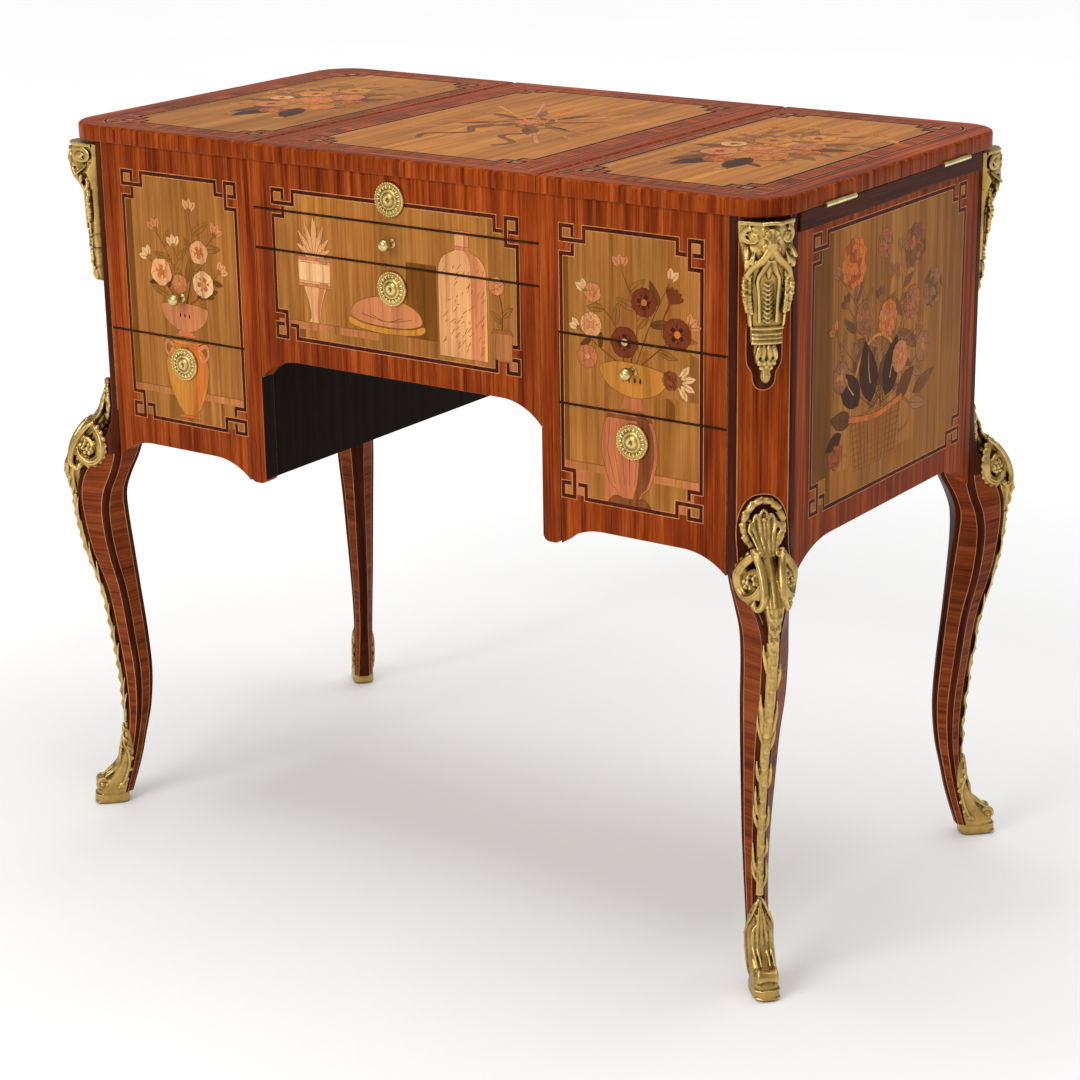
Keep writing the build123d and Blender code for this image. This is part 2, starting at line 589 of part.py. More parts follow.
# ---------------------------------------------------------------- bronze mounts
with BuildPart() as corner_chutes:
    top_z = CARCASS_TOP - CHUTE_TOP_GAP
    low_z = top_z - CHUTE_LENGTH
    head_z = top_z - CHUTE_HEAD_HEIGHT
    drop_z = low_z + 36
    with BuildSketch(PROFILE):
        Polygon(
            (0, top_z),
            (CHUTE_HEAD_REACH - 3, top_z),
            (CHUTE_HEAD_REACH, top_z - 6),
            (CHUTE_HEAD_REACH, head_z + 6),
            (CHUTE_HEAD_REACH - 4, head_z),
            (CHUTE_BODY_REACH, head_z - 9),
            (CHUTE_BODY_REACH, drop_z + 6),
            (CHUTE_BODY_REACH - 3, drop_z),
            (CHUTE_BODY_REACH - 3, low_z + 10),
            (3, low_z),
            (0, low_z),
            align=None,
        )
    extrude(amount=CHUTE_HALF_WIDTH, both=True)
    with BuildSketch(FACE):
        Polygon(
            (-CHUTE_HALF_WIDTH, top_z),
            (CHUTE_HALF_WIDTH, top_z),
            (CHUTE_HALF_WIDTH, top_z - 20),
            (CHUTE_HALF_WIDTH - 2, head_z - 40),
            (15, drop_z + 18),
            (15, drop_z + 4),
            (10, drop_z - 4),
            (10, low_z + 16),
            (4, low_z),
            (-4, low_z),
            (-10, low_z + 16),
            (-10, drop_z - 4),
            (-15, drop_z + 4),
            (-15, drop_z + 18),
            (-CHUTE_HALF_WIDTH + 2, head_z - 40),
            (-CHUTE_HALF_WIDTH, top_z - 20),
            align=None,
        )
    extrude(amount=CHUTE_HEAD_REACH, mode=Mode.INTERSECT)
    with BuildSketch(PLAN.offset(low_z)):
        with BuildLine():
            Polyline(
                (CHUTE_EDGE_REACH, -CHUTE_HALF_WIDTH),
                (0, -CHUTE_HALF_WIDTH),
                (0, CHUTE_HALF_WIDTH),
                (CHUTE_EDGE_REACH, CHUTE_HALF_WIDTH),
            )
            ThreePointArc(
                (CHUTE_EDGE_REACH, CHUTE_HALF_WIDTH),
                (CHUTE_HEAD_REACH, 0),
                (CHUTE_EDGE_REACH, -CHUTE_HALF_WIDTH),
            )
        make_face()
    extrude(amount=CHUTE_LENGTH, mode=Mode.INTERSECT)
    mirror(about=Plane.XZ)
    mirror(about=Plane.YZ)

with BuildPart() as knee_mounts:
    knee_top_z = 480.0
    knee_low_z = LEG_MOUNT_TOP_Z + 0.5
    with BuildSketch(PROFILE):
        with BuildLine():
            Spline(
                (2, knee_top_z),
                (6, 462),
                (14, 445),
                (28, 429),
                (44, 412),
                (54, 395),
                (57.5, 378),
                (50, knee_low_z),
            )
            Polyline(
                (50, knee_low_z),
                (30, knee_low_z),
                (20, 400),
                (-4, 440),
                (-4, knee_top_z),
                (2, knee_top_z),
            )
        make_face()
    extrude(amount=KNEE_HALF_WIDTH, both=True)
    with BuildSketch(FACE):
        with BuildLine():
            right_edge = [
                (9, knee_low_z),
                (18, 385),
                (KNEE_HALF_WIDTH, 415),
                (KNEE_HALF_WIDTH, 445),
                (7, knee_top_z),
            ]
            left_edge = [(-across, z) for across, z in reversed(right_edge)]
            Spline(*right_edge)
            Line(right_edge[-1], left_edge[0])
            Spline(*left_edge)
            Line(left_edge[-1], right_edge[0])
        make_face()
    extrude(amount=KNEE_REACH + KNEE_HALF_WIDTH, both=True, mode=Mode.INTERSECT)
    with BuildSketch(PLAN.offset(knee_low_z)):
        Ellipse(KNEE_REACH, KNEE_HALF_WIDTH + 2)
    extrude(amount=knee_top_z - knee_low_z, mode=Mode.INTERSECT)
    add(leg_front_right.part, mode=Mode.SUBTRACT)
    mirror(about=Plane.XZ)
    mirror(about=Plane.YZ)

with BuildPart() as leg_mounts:
    between = [row[0] for row in LEG_SECTIONS if LEG_MOUNT_LOW_Z < row[0] < LEG_MOUNT_TOP_Z]
    heights = [LEG_MOUNT_TOP_Z, *between, LEG_MOUNT_LOW_Z]
    outside = [(outer_at(z) + LEG_MOUNT_REACH, z) for z in heights]
    inside = [(outer_at(z) - LEG_MOUNT_REACH, z) for z in reversed(heights)]
    with BuildSketch(PROFILE):
        with BuildLine():
            Spline(*outside)
            Line(outside[-1], inside[0])
            Spline(*inside)
            Line(inside[-1], outside[0])
        make_face()
    extrude(amount=LEG_MOUNT_WIDTH / 2, both=True)
    add(leg_front_right.part, mode=Mode.SUBTRACT)
    mirror(about=Plane.XZ)
    mirror(about=Plane.YZ)

with BuildPart() as sabots:
    for height, inner, outer, width in (
        (0, 9, 44, 25),
        (7, 8, 47, 26),
        (17, 4, 35, 26),
        (34, -4, 22, 26),
        (62, -14, 12, 26.5),
        (SABOT_TOP_Z, -20, 8.5, 27),
    ):
        with BuildSketch(PLAN.offset(height)):
            with Locations(((inner + outer) / 2, 0)):
                Rectangle(outer - inner, width)
    loft()
    add(leg_front_right.part, mode=Mode.SUBTRACT)
    mirror(about=Plane.XZ)
    mirror(about=Plane.YZ)

# ---------------------------------------------------------------- flaps
FLAP_EDGE_X = FLAP_JOINT_X + FLAP_JOINT_GAP / 2

with BuildPart() as flap_right:
    with BuildSketch(Plane.XY.offset(FLAP_UNDERSIDE)) as flap_outline:
        with Locations(((FLAP_EDGE_X + TOP_WIDTH / 2) / 2, 0)):
            Rectangle(TOP_WIDTH / 2 - FLAP_EDGE_X, TOP_DEPTH)
        fillet(flap_outline.vertices().group_by(Axis.X)[-1], FLAP_CORNER_RADIUS)
    extrude(amount=FLAP_THICKNESS)
    fillet(flap_right.faces().sort_by(Axis.Z)[-1].edges(), FLAP_ARRIS_RADIUS)
    add(placed(moving_seat.part, RIGHT_PLACES), mode=Mode.SUBTRACT)

with BuildPart() as flap_left:
    mirror(flap_right.part, about=Plane.YZ)

MIRROR_X = FLAP_JOINT_X - MIRROR_MARGIN_X
MIRROR_Y = (FRONT_Y + MIRROR_MARGIN_FRONT, BACK_Y - MIRROR_MARGIN_REAR)
MIRROR_Z = (FLAP_UNDERSIDE, FLAP_UNDERSIDE + MIRROR_THICKNESS)

with BuildPart() as flap_centre:
    half = FLAP_JOINT_X - FLAP_JOINT_GAP / 2
    add(board((-half, half), (-TOP_DEPTH / 2, TOP_DEPTH / 2), (FLAP_UNDERSIDE, HEIGHT)))
    fillet(flap_centre.faces().sort_by(Axis.Z)[-1].edges(), FLAP_ARRIS_RADIUS)
    add(placed(moving_seat.part, REAR_PLACES), mode=Mode.SUBTRACT)
    add(board((-MIRROR_X, MIRROR_X), MIRROR_Y, MIRROR_Z), mode=Mode.SUBTRACT)
    plate_half = KEEP_WIDTH + 4
    plate_y = (keep_y - KEEP_WIDTH / 2, keep_y + KEEP_WIDTH / 2)
    plate_z = (FLAP_UNDERSIDE, FLAP_UNDERSIDE + KEEP_PLATE)
    add(board((-plate_half, plate_half), plate_y, plate_z), mode=Mode.SUBTRACT)

with BuildPart() as flap_keep:
    add(board((-plate_half, plate_half), plate_y, plate_z))
    tab_y = (keep_y - KEEP_THICKNESS / 2, keep_y + KEEP_THICKNESS / 2)
    add(board((-KEEP_WIDTH / 2, KEEP_WIDTH / 2), tab_y, (FLAP_UNDERSIDE - KEEP_DROP, FLAP_UNDERSIDE)))

with BuildPart() as mirror_glass:
    add(board((-MIRROR_X, MIRROR_X), MIRROR_Y, MIRROR_Z))

with BuildPart() as mirror_moulding:
    ring_z = (FLAP_UNDERSIDE - MOULDING_HEIGHT, FLAP_UNDERSIDE)
    ring_x = MIRROR_X + MOULDING_OUTSET
    ring_y = (MIRROR_Y[0] - MOULDING_OUTSET, MIRROR_Y[1] + MOULDING_OUTSET)
    sight_x = MIRROR_X - MOULDING_LAP
    sight_y = (MIRROR_Y[0] + MOULDING_LAP, MIRROR_Y[1] - MOULDING_LAP)
    add(board((-ring_x, ring_x), ring_y, ring_z))
    fillet(mirror_moulding.faces().sort_by(Axis.Z)[0].edges(), MOULDING_HEIGHT / 2)
    add(board((-sight_x, sight_x), sight_y, ring_z), mode=Mode.SUBTRACT)

# ---------------------------------------------------------------- writing slide
SLIDE_HALF = STILE_INNER_X - FRONT_SIDE_GAP
SLIDE_REAR_Y = FRONT_INNER_Y + SLIDE_BOARD_LENGTH
LEATHER_Z = SLIDE_BOARD_Z + SLIDE_BOARD_THICKNESS

with BuildPart() as slide_front:
    slide_z = (SLIDE_LOW_Z + FRONT_GAP / 2, SLIDE_HIGH_Z - FRONT_GAP / 2)
    add(board((-SLIDE_HALF, SLIDE_HALF), (FRONT_Y, FRONT_INNER_Y), slide_z))
    add(shank_hole(0, SLIDE_KNOB_Z), mode=Mode.SUBTRACT)

with BuildPart() as slide_board:
    add(board((-SLIDE_HALF, SLIDE_HALF), (FRONT_INNER_Y, SLIDE_REAR_Y), (SLIDE_BOARD_Z, LEATHER_Z)))
    leather_x = SLIDE_HALF - LEATHER_MARGIN
    leather_y = (FRONT_INNER_Y + LEATHER_MARGIN / 2, SLIDE_REAR_Y - LEATHER_MARGIN)
    leather_z = (LEATHER_Z - LEATHER_THICKNESS, LEATHER_Z)
    add(board((-leather_x, leather_x), leather_y, leather_z), mode=Mode.SUBTRACT)

with BuildPart() as slide_leather:
    add(board((-leather_x, leather_x), leather_y, leather_z))

with BuildPart() as slide_knob:
    add(knob(0, FRONT_Y, SLIDE_KNOB_Z))

# ---------------------------------------------------------------- drawers
CENTRE_DRAWER_X = (-PARTITION_INNER_X + DRAWER_SIDE_GAP, PARTITION_INNER_X - DRAWER_SIDE_GAP)
RIGHT_DRAWER_X = (STILE_OUTER_X + DRAWER_SIDE_GAP, POST_INNER_X - DRAWER_SIDE_GAP)
LEFT_DRAWER_X = (-RIGHT_DRAWER_X[1], -RIGHT_DRAWER_X[0])
CENTRE_CEILING_Z = CENTRE_DUST_TOP - CENTRE_FLOOR_THICKNESS
LOWER_CEILING_Z = MIDDLE_DUST_TOP - BOARD_THICKNESS
CENTRE_DRAWER_Z = (CENTRE_RUNNER_TOP_Z + SEAT_GAP, CENTRE_CEILING_Z - DRAWER_TOP_CLEAR)
LOWER_DRAWER_Z = (RUNNER_TOP_Z + SEAT_GAP, LOWER_CEILING_Z - DRAWER_TOP_CLEAR)
MIDDLE_DRAWER_Z = (MIDDLE_DUST_TOP + SEAT_GAP, RIGHT_WELL_Z - DRAWER_TOP_CLEAR)
PEDESTAL_LEFT_X = STILE_OUTER_X + FRONT_SIDE_GAP
PEDESTAL_RIGHT_X = POST_INNER_X - FRONT_SIDE_GAP
CENTRE_KEY_Z = SLIDE_LOW_Z - CENTRE_KEY_DROP
PEDESTAL_KEY_Z = LOWER_LINE_Z - PEDESTAL_KEY_DROP

with BuildPart() as drawer_centre_front:
    front_top = SLIDE_LOW_Z - FRONT_GAP / 2
    add(
        apron_board(
            FRONT, -SLIDE_HALF, SLIDE_HALF, front_top,
            CENTRE_FLAT_Z, CENTRE_TIP_Z, APRON_EAR, -FRONT_THICKNESS,
        )
    )
    add(lock_seat(0, CENTRE_KEY_Z), mode=Mode.SUBTRACT)

with BuildPart() as drawer_centre_carcass:
    add(drawer_carcass(CENTRE_DRAWER_X, CENTRE_DRAWER_Z))

with BuildPart() as drawer_centre_bottom:
    add(drawer_bottom(CENTRE_DRAWER_X, CENTRE_DRAWER_Z))

with BuildPart() as drawer_centre_escutcheon:
    add(rosette(0, FRONT_Y, CENTRE_KEY_Z))

with BuildPart() as drawer_centre_lock:
    add(lock(0, FRONT_INNER_Y, CENTRE_KEY_Z, drawer_lock_z(CENTRE_KEY_Z)))

with BuildPart() as drawer_right_lower_front:
    front_top = LOWER_LINE_Z - FRONT_GAP / 2
    add(
        apron_board(
            FRONT, PEDESTAL_LEFT_X, PEDESTAL_RIGHT_X, front_top,
            PEDESTAL_FLAT_Z, PEDESTAL_TIP_Z, APRON_EAR, -FRONT_THICKNESS,
        )
    )
    add(lock_seat(PEDESTAL_HANDLE_X, PEDESTAL_KEY_Z), mode=Mode.SUBTRACT)

with BuildPart() as drawer_right_lower_carcass:
    add(drawer_carcass(RIGHT_DRAWER_X, LOWER_DRAWER_Z))

with BuildPart() as drawer_right_lower_bottom:
    add(drawer_bottom(RIGHT_DRAWER_X, LOWER_DRAWER_Z))

with BuildPart() as drawer_right_lower_escutcheon:
    add(rosette(PEDESTAL_HANDLE_X, FRONT_Y, PEDESTAL_KEY_Z))

with BuildPart() as drawer_right_lower_lock:
    add(lock(PEDESTAL_HANDLE_X, FRONT_INNER_Y, PEDESTAL_KEY_Z, drawer_lock_z(PEDESTAL_KEY_Z)))

with BuildPart() as drawer_left_front:
    mirror(drawer_right_lower_front.part, about=Plane.YZ)

with BuildPart() as drawer_left_carcass:
    add(drawer_carcass(LEFT_DRAWER_X, LOWER_DRAWER_Z))

with BuildPart() as drawer_left_bottom:
    add(drawer_bottom(LEFT_DRAWER_X, LOWER_DRAWER_Z))

with BuildPart() as drawer_left_escutcheon:
    add(rosette(-PEDESTAL_HANDLE_X, FRONT_Y, PEDESTAL_KEY_Z))

with BuildPart() as drawer_left_lock:
    add(lock(-PEDESTAL_HANDLE_X, FRONT_INNER_Y, PEDESTAL_KEY_Z, drawer_lock_z(PEDESTAL_KEY_Z)))

with BuildPart() as drawer_right_middle_front:
    middle_z = (LOWER_LINE_Z + FRONT_GAP / 2, MIDDLE_LINE_Z - FRONT_GAP / 2)
    add(board((PEDESTAL_LEFT_X, PEDESTAL_RIGHT_X), (FRONT_Y, FRONT_INNER_Y), middle_z))
    add(shank_hole(PEDESTAL_HANDLE_X, MIDDLE_KNOB_Z), mode=Mode.SUBTRACT)

with BuildPart() as drawer_right_middle_carcass:
    add(drawer_carcass(RIGHT_DRAWER_X, MIDDLE_DRAWER_Z))

with BuildPart() as drawer_right_middle_bottom:
    add(drawer_bottom(RIGHT_DRAWER_X, MIDDLE_DRAWER_Z))

with BuildPart() as drawer_right_middle_knob:
    add(knob(PEDESTAL_HANDLE_X, FRONT_Y, MIDDLE_KNOB_Z))

# ---------------------------------------------------------------- files
PIECES = {
    "leg_front_left": leg_front_left,
    "leg_front_right": leg_front_right,
    "leg_rear_left": leg_rear_left,
    "leg_rear_right": leg_rear_right,
    "side_panel_left": side_panel_left,
    "side_panel_right": side_panel_right,
    "side_rails": side_rails,
    "back_panels_outer": back_panels_outer,
    "back_panel_centre": back_panel_centre,
    "partitions": partitions,
    "inner_stiles": inner_stiles,
    "front_panel_left": front_panel_left,
    "front_panel_right": front_panel_right,
    "front_rail_centre": front_rail_centre,
    "knob_left_panel": knob_left_panel,
    "escutcheon_rail": escutcheon_rail,
    "lock_rail": lock_rail,
    "well_floor_left": well_floor_left,
    "well_floor_centre": well_floor_centre,
    "well_floor_right": well_floor_right,
    "dust_boards": dust_boards,
    "drawer_runners": drawer_runners,
    "corner_chutes": corner_chutes,
    "knee_mounts": knee_mounts,
    "leg_mounts": leg_mounts,
    "sabots": sabots,
    "hinge_leaves_fixed": hinge_leaves_fixed,
    "hinge_pins": hinge_pins,
    "flap_left": flap_left,
    "flap_left_hinge_leaves": flap_left_hinge_leaves,
    "flap_right": flap_right,
    "flap_right_hinge_leaves": flap_right_hinge_leaves,
    "flap_centre": flap_centre,
    "flap_centre_hinge_leaves": flap_centre_hinge_leaves,
    "flap_keep": flap_keep,
    "mirror_glass": mirror_glass,
    "mirror_moulding": mirror_moulding,
    "slide_front": slide_front,
    "slide_board": slide_board,
    "slide_leather": slide_leather,
    "slide_knob": slide_knob,
    "drawer_centre_front": drawer_centre_front,
    "drawer_centre_carcass": drawer_centre_carcass,
    "drawer_centre_bottom": drawer_centre_bottom,
    "drawer_centre_escutcheon": drawer_centre_escutcheon,
    "drawer_centre_lock": drawer_centre_lock,
    "drawer_left_front": drawer_left_front,
    "drawer_left_carcass": drawer_left_carcass,
    "drawer_left_bottom": drawer_left_bottom,
    "drawer_left_escutcheon": drawer_left_escutcheon,
    "drawer_left_lock": drawer_left_lock,
    "drawer_right_middle_front": drawer_right_middle_front,
    "drawer_right_middle_carcass": drawer_right_middle_carcass,
    "drawer_right_middle_bottom": drawer_right_middle_bottom,
    "drawer_right_middle_knob": drawer_right_middle_knob,
    "drawer_right_lower_front": drawer_right_lower_front,
    "drawer_right_lower_carcass": drawer_right_lower_carcass,
    "drawer_right_lower_bottom": drawer_right_lower_bottom,
    "drawer_right_lower_escutcheon": drawer_right_lower_escutcheon,
    "drawer_right_lower_lock": drawer_right_lower_lock,
}

os.makedirs("parts", exist_ok=True)
for name, piece in PIECES.items():
    piece.part.label = name
    export_step(piece.part, f"parts/{name}.step")
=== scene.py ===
"""Looks of the poudreuse dressing table: woods, marquetry, frets, gilt bronzes,
floor, light and camera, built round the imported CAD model.

Frame: X to the right of a person facing the front, -Y the front, +Z up. Shapes
are written in millimetres and turned into metres when a mesh is made.
"""

import math
import random

import bmesh
import bpy
from mathutils import Matrix, Vector


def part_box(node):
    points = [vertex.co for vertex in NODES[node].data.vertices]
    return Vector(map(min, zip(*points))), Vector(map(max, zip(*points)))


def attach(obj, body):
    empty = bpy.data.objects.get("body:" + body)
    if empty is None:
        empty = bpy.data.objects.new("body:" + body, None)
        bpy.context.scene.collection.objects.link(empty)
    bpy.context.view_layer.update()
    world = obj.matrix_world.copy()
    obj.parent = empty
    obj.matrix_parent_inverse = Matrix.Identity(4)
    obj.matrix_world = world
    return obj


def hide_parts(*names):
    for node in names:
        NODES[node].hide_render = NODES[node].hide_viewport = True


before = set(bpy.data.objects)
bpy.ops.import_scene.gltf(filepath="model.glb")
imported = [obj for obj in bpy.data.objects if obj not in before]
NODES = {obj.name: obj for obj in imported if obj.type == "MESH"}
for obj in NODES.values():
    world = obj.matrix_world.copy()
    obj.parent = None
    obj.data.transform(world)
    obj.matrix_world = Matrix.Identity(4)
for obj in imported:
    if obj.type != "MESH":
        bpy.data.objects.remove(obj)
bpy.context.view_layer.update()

MM = 0.001

# ---------------------------------------------------------------- places of the CAD model
SIDE_X = 414.0
FRONT_Y = -220.0
BACK_Y = 220.0
FLAP_X = 419.0
FLAP_Y = 225.0
FLAP_LOW = 733.0
FLAP_GROUND = 749.5
FLAP_RADIUS = 42.0
SIDE_JOINT_X = 171.0
CENTRE_JOINT_X = 170.0
CORNER_X = 396.0
CORNER_Y = -202.0
ROOT_HALF = math.sqrt(0.5)
CORNERS = {
    "front_right": (1, 1),
    "front_left": (-1, 1),
    "rear_right": (1, -1),
    "rear_left": (-1, -1),
}


# ---------------------------------------------------------------- materials
def rgb(red, green, blue):
    """A display colour from 0 to 255 as a linear one with alpha."""
    def linear(v):
        v /= 255
        return v / 12.92 if v <= 0.04045 else ((v + 0.055) / 1.055) ** 2.4
    return (linear(red), linear(green), linear(blue), 1.0)


class Finish:
    """A material and the few nodes that every finish here is made from."""

    def __init__(self, name, roughness=0.4, metallic=0.0, coat=0.0):
        self.mat = bpy.data.materials.new(name)
        self.mat.use_nodes = True
        self.tree = self.mat.node_tree
        self.shader = self.tree.nodes["Principled BSDF"]
        self.shader.inputs["Roughness"].default_value = roughness
        self.shader.inputs["Metallic"].default_value = metallic
        self.shader.inputs["Coat Weight"].default_value = coat
        self.shader.inputs["Specular IOR Level"].default_value = 0.5 if metallic else 0.03
        self.shader.inputs["Coat Roughness"].default_value = 0.18
        self.place = self.node("ShaderNodeTexCoord").outputs["Object"]

    def node(self, kind, **values):
        made = self.tree.nodes.new(kind)
        for key, value in values.items():
            setattr(made, key, value)
        return made

    def link(self, source, target):
        self.tree.links.new(source, target)

    def at(self, scale, shift=0.0):
        """The object's own coordinates, scaled by one number or by three."""
        made = self.node("ShaderNodeMapping")
        made.inputs["Scale"].default_value = scale if isinstance(scale, tuple) else (scale,) * 3
        made.inputs["Location"].default_value = (shift, shift * 1.7, shift * 0.6)
        self.link(self.place, made.inputs["Vector"])
        return made.outputs["Vector"]

    def noise(self, vector, detail=3.0, rough=0.55, bend=0.0):
        """Smooth noise, one cell to a unit of the vector."""
        made = self.node("ShaderNodeTexNoise")
        made.inputs["Scale"].default_value = 1.0
        made.inputs["Detail"].default_value = detail
        made.inputs["Roughness"].default_value = rough
        made.inputs["Distortion"].default_value = bend
        self.link(vector, made.inputs["Vector"])
        return made.outputs["Fac"]

    def ramp(self, factor, stops):
        """Colours at places along a factor."""
        made = self.node("ShaderNodeValToRGB")
        elements = made.color_ramp.elements
        while len(elements) < len(stops):
            elements.new(0.5)
        for element, (place, colour) in zip(elements, stops):
            element.position = place
            element.color = colour
        self.link(factor, made.inputs["Fac"])
        return made.outputs["Color"]

    def math(self, operation, a, b):
        """A sum of two sockets or numbers."""
        made = self.node("ShaderNodeMath", operation=operation)
        for socket, value in zip(made.inputs, (a, b)):
            if isinstance(value, (int, float)):
                socket.default_value = value
            else:
                self.link(value, socket)
        return made.outputs[0]

    def mix(self, factor, a, b, blend="MIX"):
        """Two colours mixed or blended."""
        made = self.node("ShaderNodeMix", data_type="RGBA", blend_type=blend)
        for socket, value in zip((made.inputs[0], made.inputs[6], made.inputs[7]), (factor, a, b)):
            if isinstance(value, (int, float, tuple)):
                socket.default_value = value
            else:
                self.link(value, socket)
        return made.outputs[2]

    def bump(self, height, strength, distance):
        """Relief of the surface, its distance in metres."""
        made = self.node("ShaderNodeBump")
        made.inputs["Strength"].default_value = strength
        made.inputs["Distance"].default_value = distance
        self.link(height, made.inputs["Height"])
        self.link(made.outputs["Normal"], self.shader.inputs["Normal"])

    def gloss(self, source, low, high):
        """Roughness between two values, by a pattern."""
        made = self.node("ShaderNodeMapRange")
        made.inputs["To Min"].default_value = low
        made.inputs["To Max"].default_value = high
        self.link(source, made.inputs["Value"])
        self.link(made.outputs["Result"], self.shader.inputs["Roughness"])

    def colour(self, source):
        self.link(source, self.shader.inputs["Base Color"])

    def edges(self, radius):
        """A mask of the arrises: 1 where the surface turns within the radius."""
        made = self.node("ShaderNodeBevel", samples=4)
        made.inputs["Radius"].default_value = radius
        plain = self.node("ShaderNodeNewGeometry")
        turn = self.node("ShaderNodeVectorMath", operation="DOT_PRODUCT")
        self.link(made.outputs["Normal"], turn.inputs[0])
        self.link(plain.outputs["Normal"], turn.inputs[1])
        return self.math("SUBTRACT", 1.0, turn.outputs["Value"])


def grey(value):
    """An opaque grey."""
    return (value, value, value, 1.0)


BLACK = grey(0.0)
WHITE = grey(1.0)
ALONG_GRAIN = {"x": 0, "y": 1, "z": 2}


def across(grain, along_scale, across_scale):
    """Noise scales that stretch a pattern along one axis, or two for end-to-end strips."""
    scale = [across_scale] * 3
    for axis in grain:
        scale[ALONG_GRAIN[axis]] = along_scale
    return tuple(scale)


def wood_pattern(made, dark, mid, light, grain, shift=0.0, streak=1.0, pores=0.75, width=1.0):
    """The colour of a wood, and the streaks that its gloss and bump follow."""
    broad = made.noise(made.at(across(grain, 4.0, 120.0 / width), shift), detail=2.0, bend=0.4)
    fine = made.noise(made.at(across(grain, 10.0, 520.0 / width), shift + 3.1), detail=4.0,
                      rough=0.6)
    both = made.math("ADD", made.math("MULTIPLY", broad, 0.55), made.math("MULTIPLY", fine, 0.45))
    half = 0.17 / streak
    stripes = made.ramp(both, [(0.5 - half, dark), (0.5, mid), (0.5 + half, light)])
    pore = made.noise(made.at(across(grain, 60.0, 1900.0), shift), detail=1.0)
    pore_shade = made.ramp(pore, [(0.36, grey(pores)), (0.5, WHITE)])
    shaded = made.mix(1.0, stripes, pore_shade, "MULTIPLY")
    cloud = made.noise(made.at(7.0, shift), detail=2.0)
    cloud_shade = made.ramp(cloud, [(0.3, (0.8, 0.78, 0.76, 1.0)), (0.7, (1.14, 1.12, 1.1, 1.0))])
    return made.mix(1.0, shaded, cloud_shade, "MULTIPLY"), both, fine


def finish_wood(made, colour, both, fine, roughness, worn):
    """Polish on a wood's colour, with its arrises turned to a paler tone: rubbed wear and a painted
    highlight.
    """
    # The arrises take the paler tone: partly rubbed wear, partly a painted highlight along the
    # edges.
    if worn:
        wear_and_highlight = made.ramp(made.edges(0.0011), [(0.02, BLACK), (0.3, grey(0.5))])
        colour = made.mix(wear_and_highlight, colour, worn)
    made.colour(colour)
    made.gloss(fine, roughness - 0.06, roughness + 0.12)
    made.bump(both, 0.12, 0.0002)
    return made.mat


def wood(name, pattern, roughness=0.3, worn=None, coat=0.012):
    """A polished wood with broad stripes, fine streaks, pores and arrises paler with rubbed wear
    and a painted highlight.
    """
    made = Finish(name, roughness, coat=coat)
    return finish_wood(made, *wood_pattern(made, **pattern), roughness, worn)


def faced(name, seen, hidden, axis, sign, roughness=0.3, worn=None):
    """One wood on the faces towards an axis, another on the rest of the board."""
    made = Finish(name, roughness, coat=0.012)
    split = made.node("ShaderNodeSeparateXYZ")
    made.link(made.node("ShaderNodeTexCoord").outputs["Normal"], split.inputs[0])
    below = made.math("MULTIPLY", split.outputs[2], -1.0)
    towards = made.math("MAXIMUM", made.math("MULTIPLY", split.outputs[axis], sign), below)
    mask = made.math("GREATER_THAN", towards, 0.3)
    colour, both, fine = wood_pattern(made, **seen)
    rest = wood_pattern(made, **hidden)[0]
    return finish_wood(made, made.mix(mask, rest, colour), both, fine, roughness, worn)


# The paler tone of the arrises: partly rubbed wear, partly a painted highlight along the edges.
ARRIS_WEAR_AND_HIGHLIGHT = rgb(190, 120, 70)
TULIP = dict(dark=rgb(86, 27, 4), mid=rgb(138, 55, 12), light=rgb(176, 86, 30), streak=1.1)
LEG = dict(dark=rgb(82, 33, 14), mid=rgb(130, 60, 27), light=rgb(158, 82, 42), streak=1.0,
           width=1.3)
AMARANTH = dict(dark=rgb(42, 15, 7), mid=rgb(70, 28, 13), light=rgb(92, 41, 21))
FRET = dict(dark=rgb(48, 18, 8), mid=rgb(70, 27, 12), light=rgb(92, 38, 17))
BOX = dict(dark=rgb(176, 104, 60), mid=rgb(202, 132, 84), light=rgb(222, 158, 110))
OAK = dict(dark=rgb(140, 98, 56), mid=rgb(176, 132, 82), light=rgb(200, 158, 106), pores=0.6)
EBONISED = dict(dark=rgb(20, 13, 10), mid=rgb(27, 18, 14), light=rgb(36, 25, 19))

WOODS = {}
for GRAIN in ("x", "y", "z"):
    WOODS["tulip_" + GRAIN] = wood("tulipwood_" + GRAIN, dict(TULIP, grain=GRAIN), worn=ARRIS_WEAR_AND_HIGHLIGHT)
WOODS["leg"] = wood("tulipwood_leg", dict(LEG, grain="xy", shift=2.0), worn=ARRIS_WEAR_AND_HIGHLIGHT)
WOODS["amaranth"] = wood("amaranth_z", dict(AMARANTH, grain="z", shift=1.0))
# rgb(150, 96, 70) is the arrises' paler tone: rubbed wear and a painted highlight.
WOODS["amaranth_y"] = wood("amaranth_y", dict(AMARANTH, grain="y", shift=1.4), 0.22,
                           rgb(150, 96, 70))
WOODS["fret"] = wood("amaranth_fret", dict(FRET, grain="z", shift=1.6))
WOODS["box"] = wood("boxwood", dict(BOX, grain="z", shift=0.4))
for GRAIN in ("x", "y"):
    WOODS["oak_" + GRAIN] = wood("oak_" + GRAIN, dict(OAK, grain=GRAIN, shift=5.0), 0.5, coat=0.0)
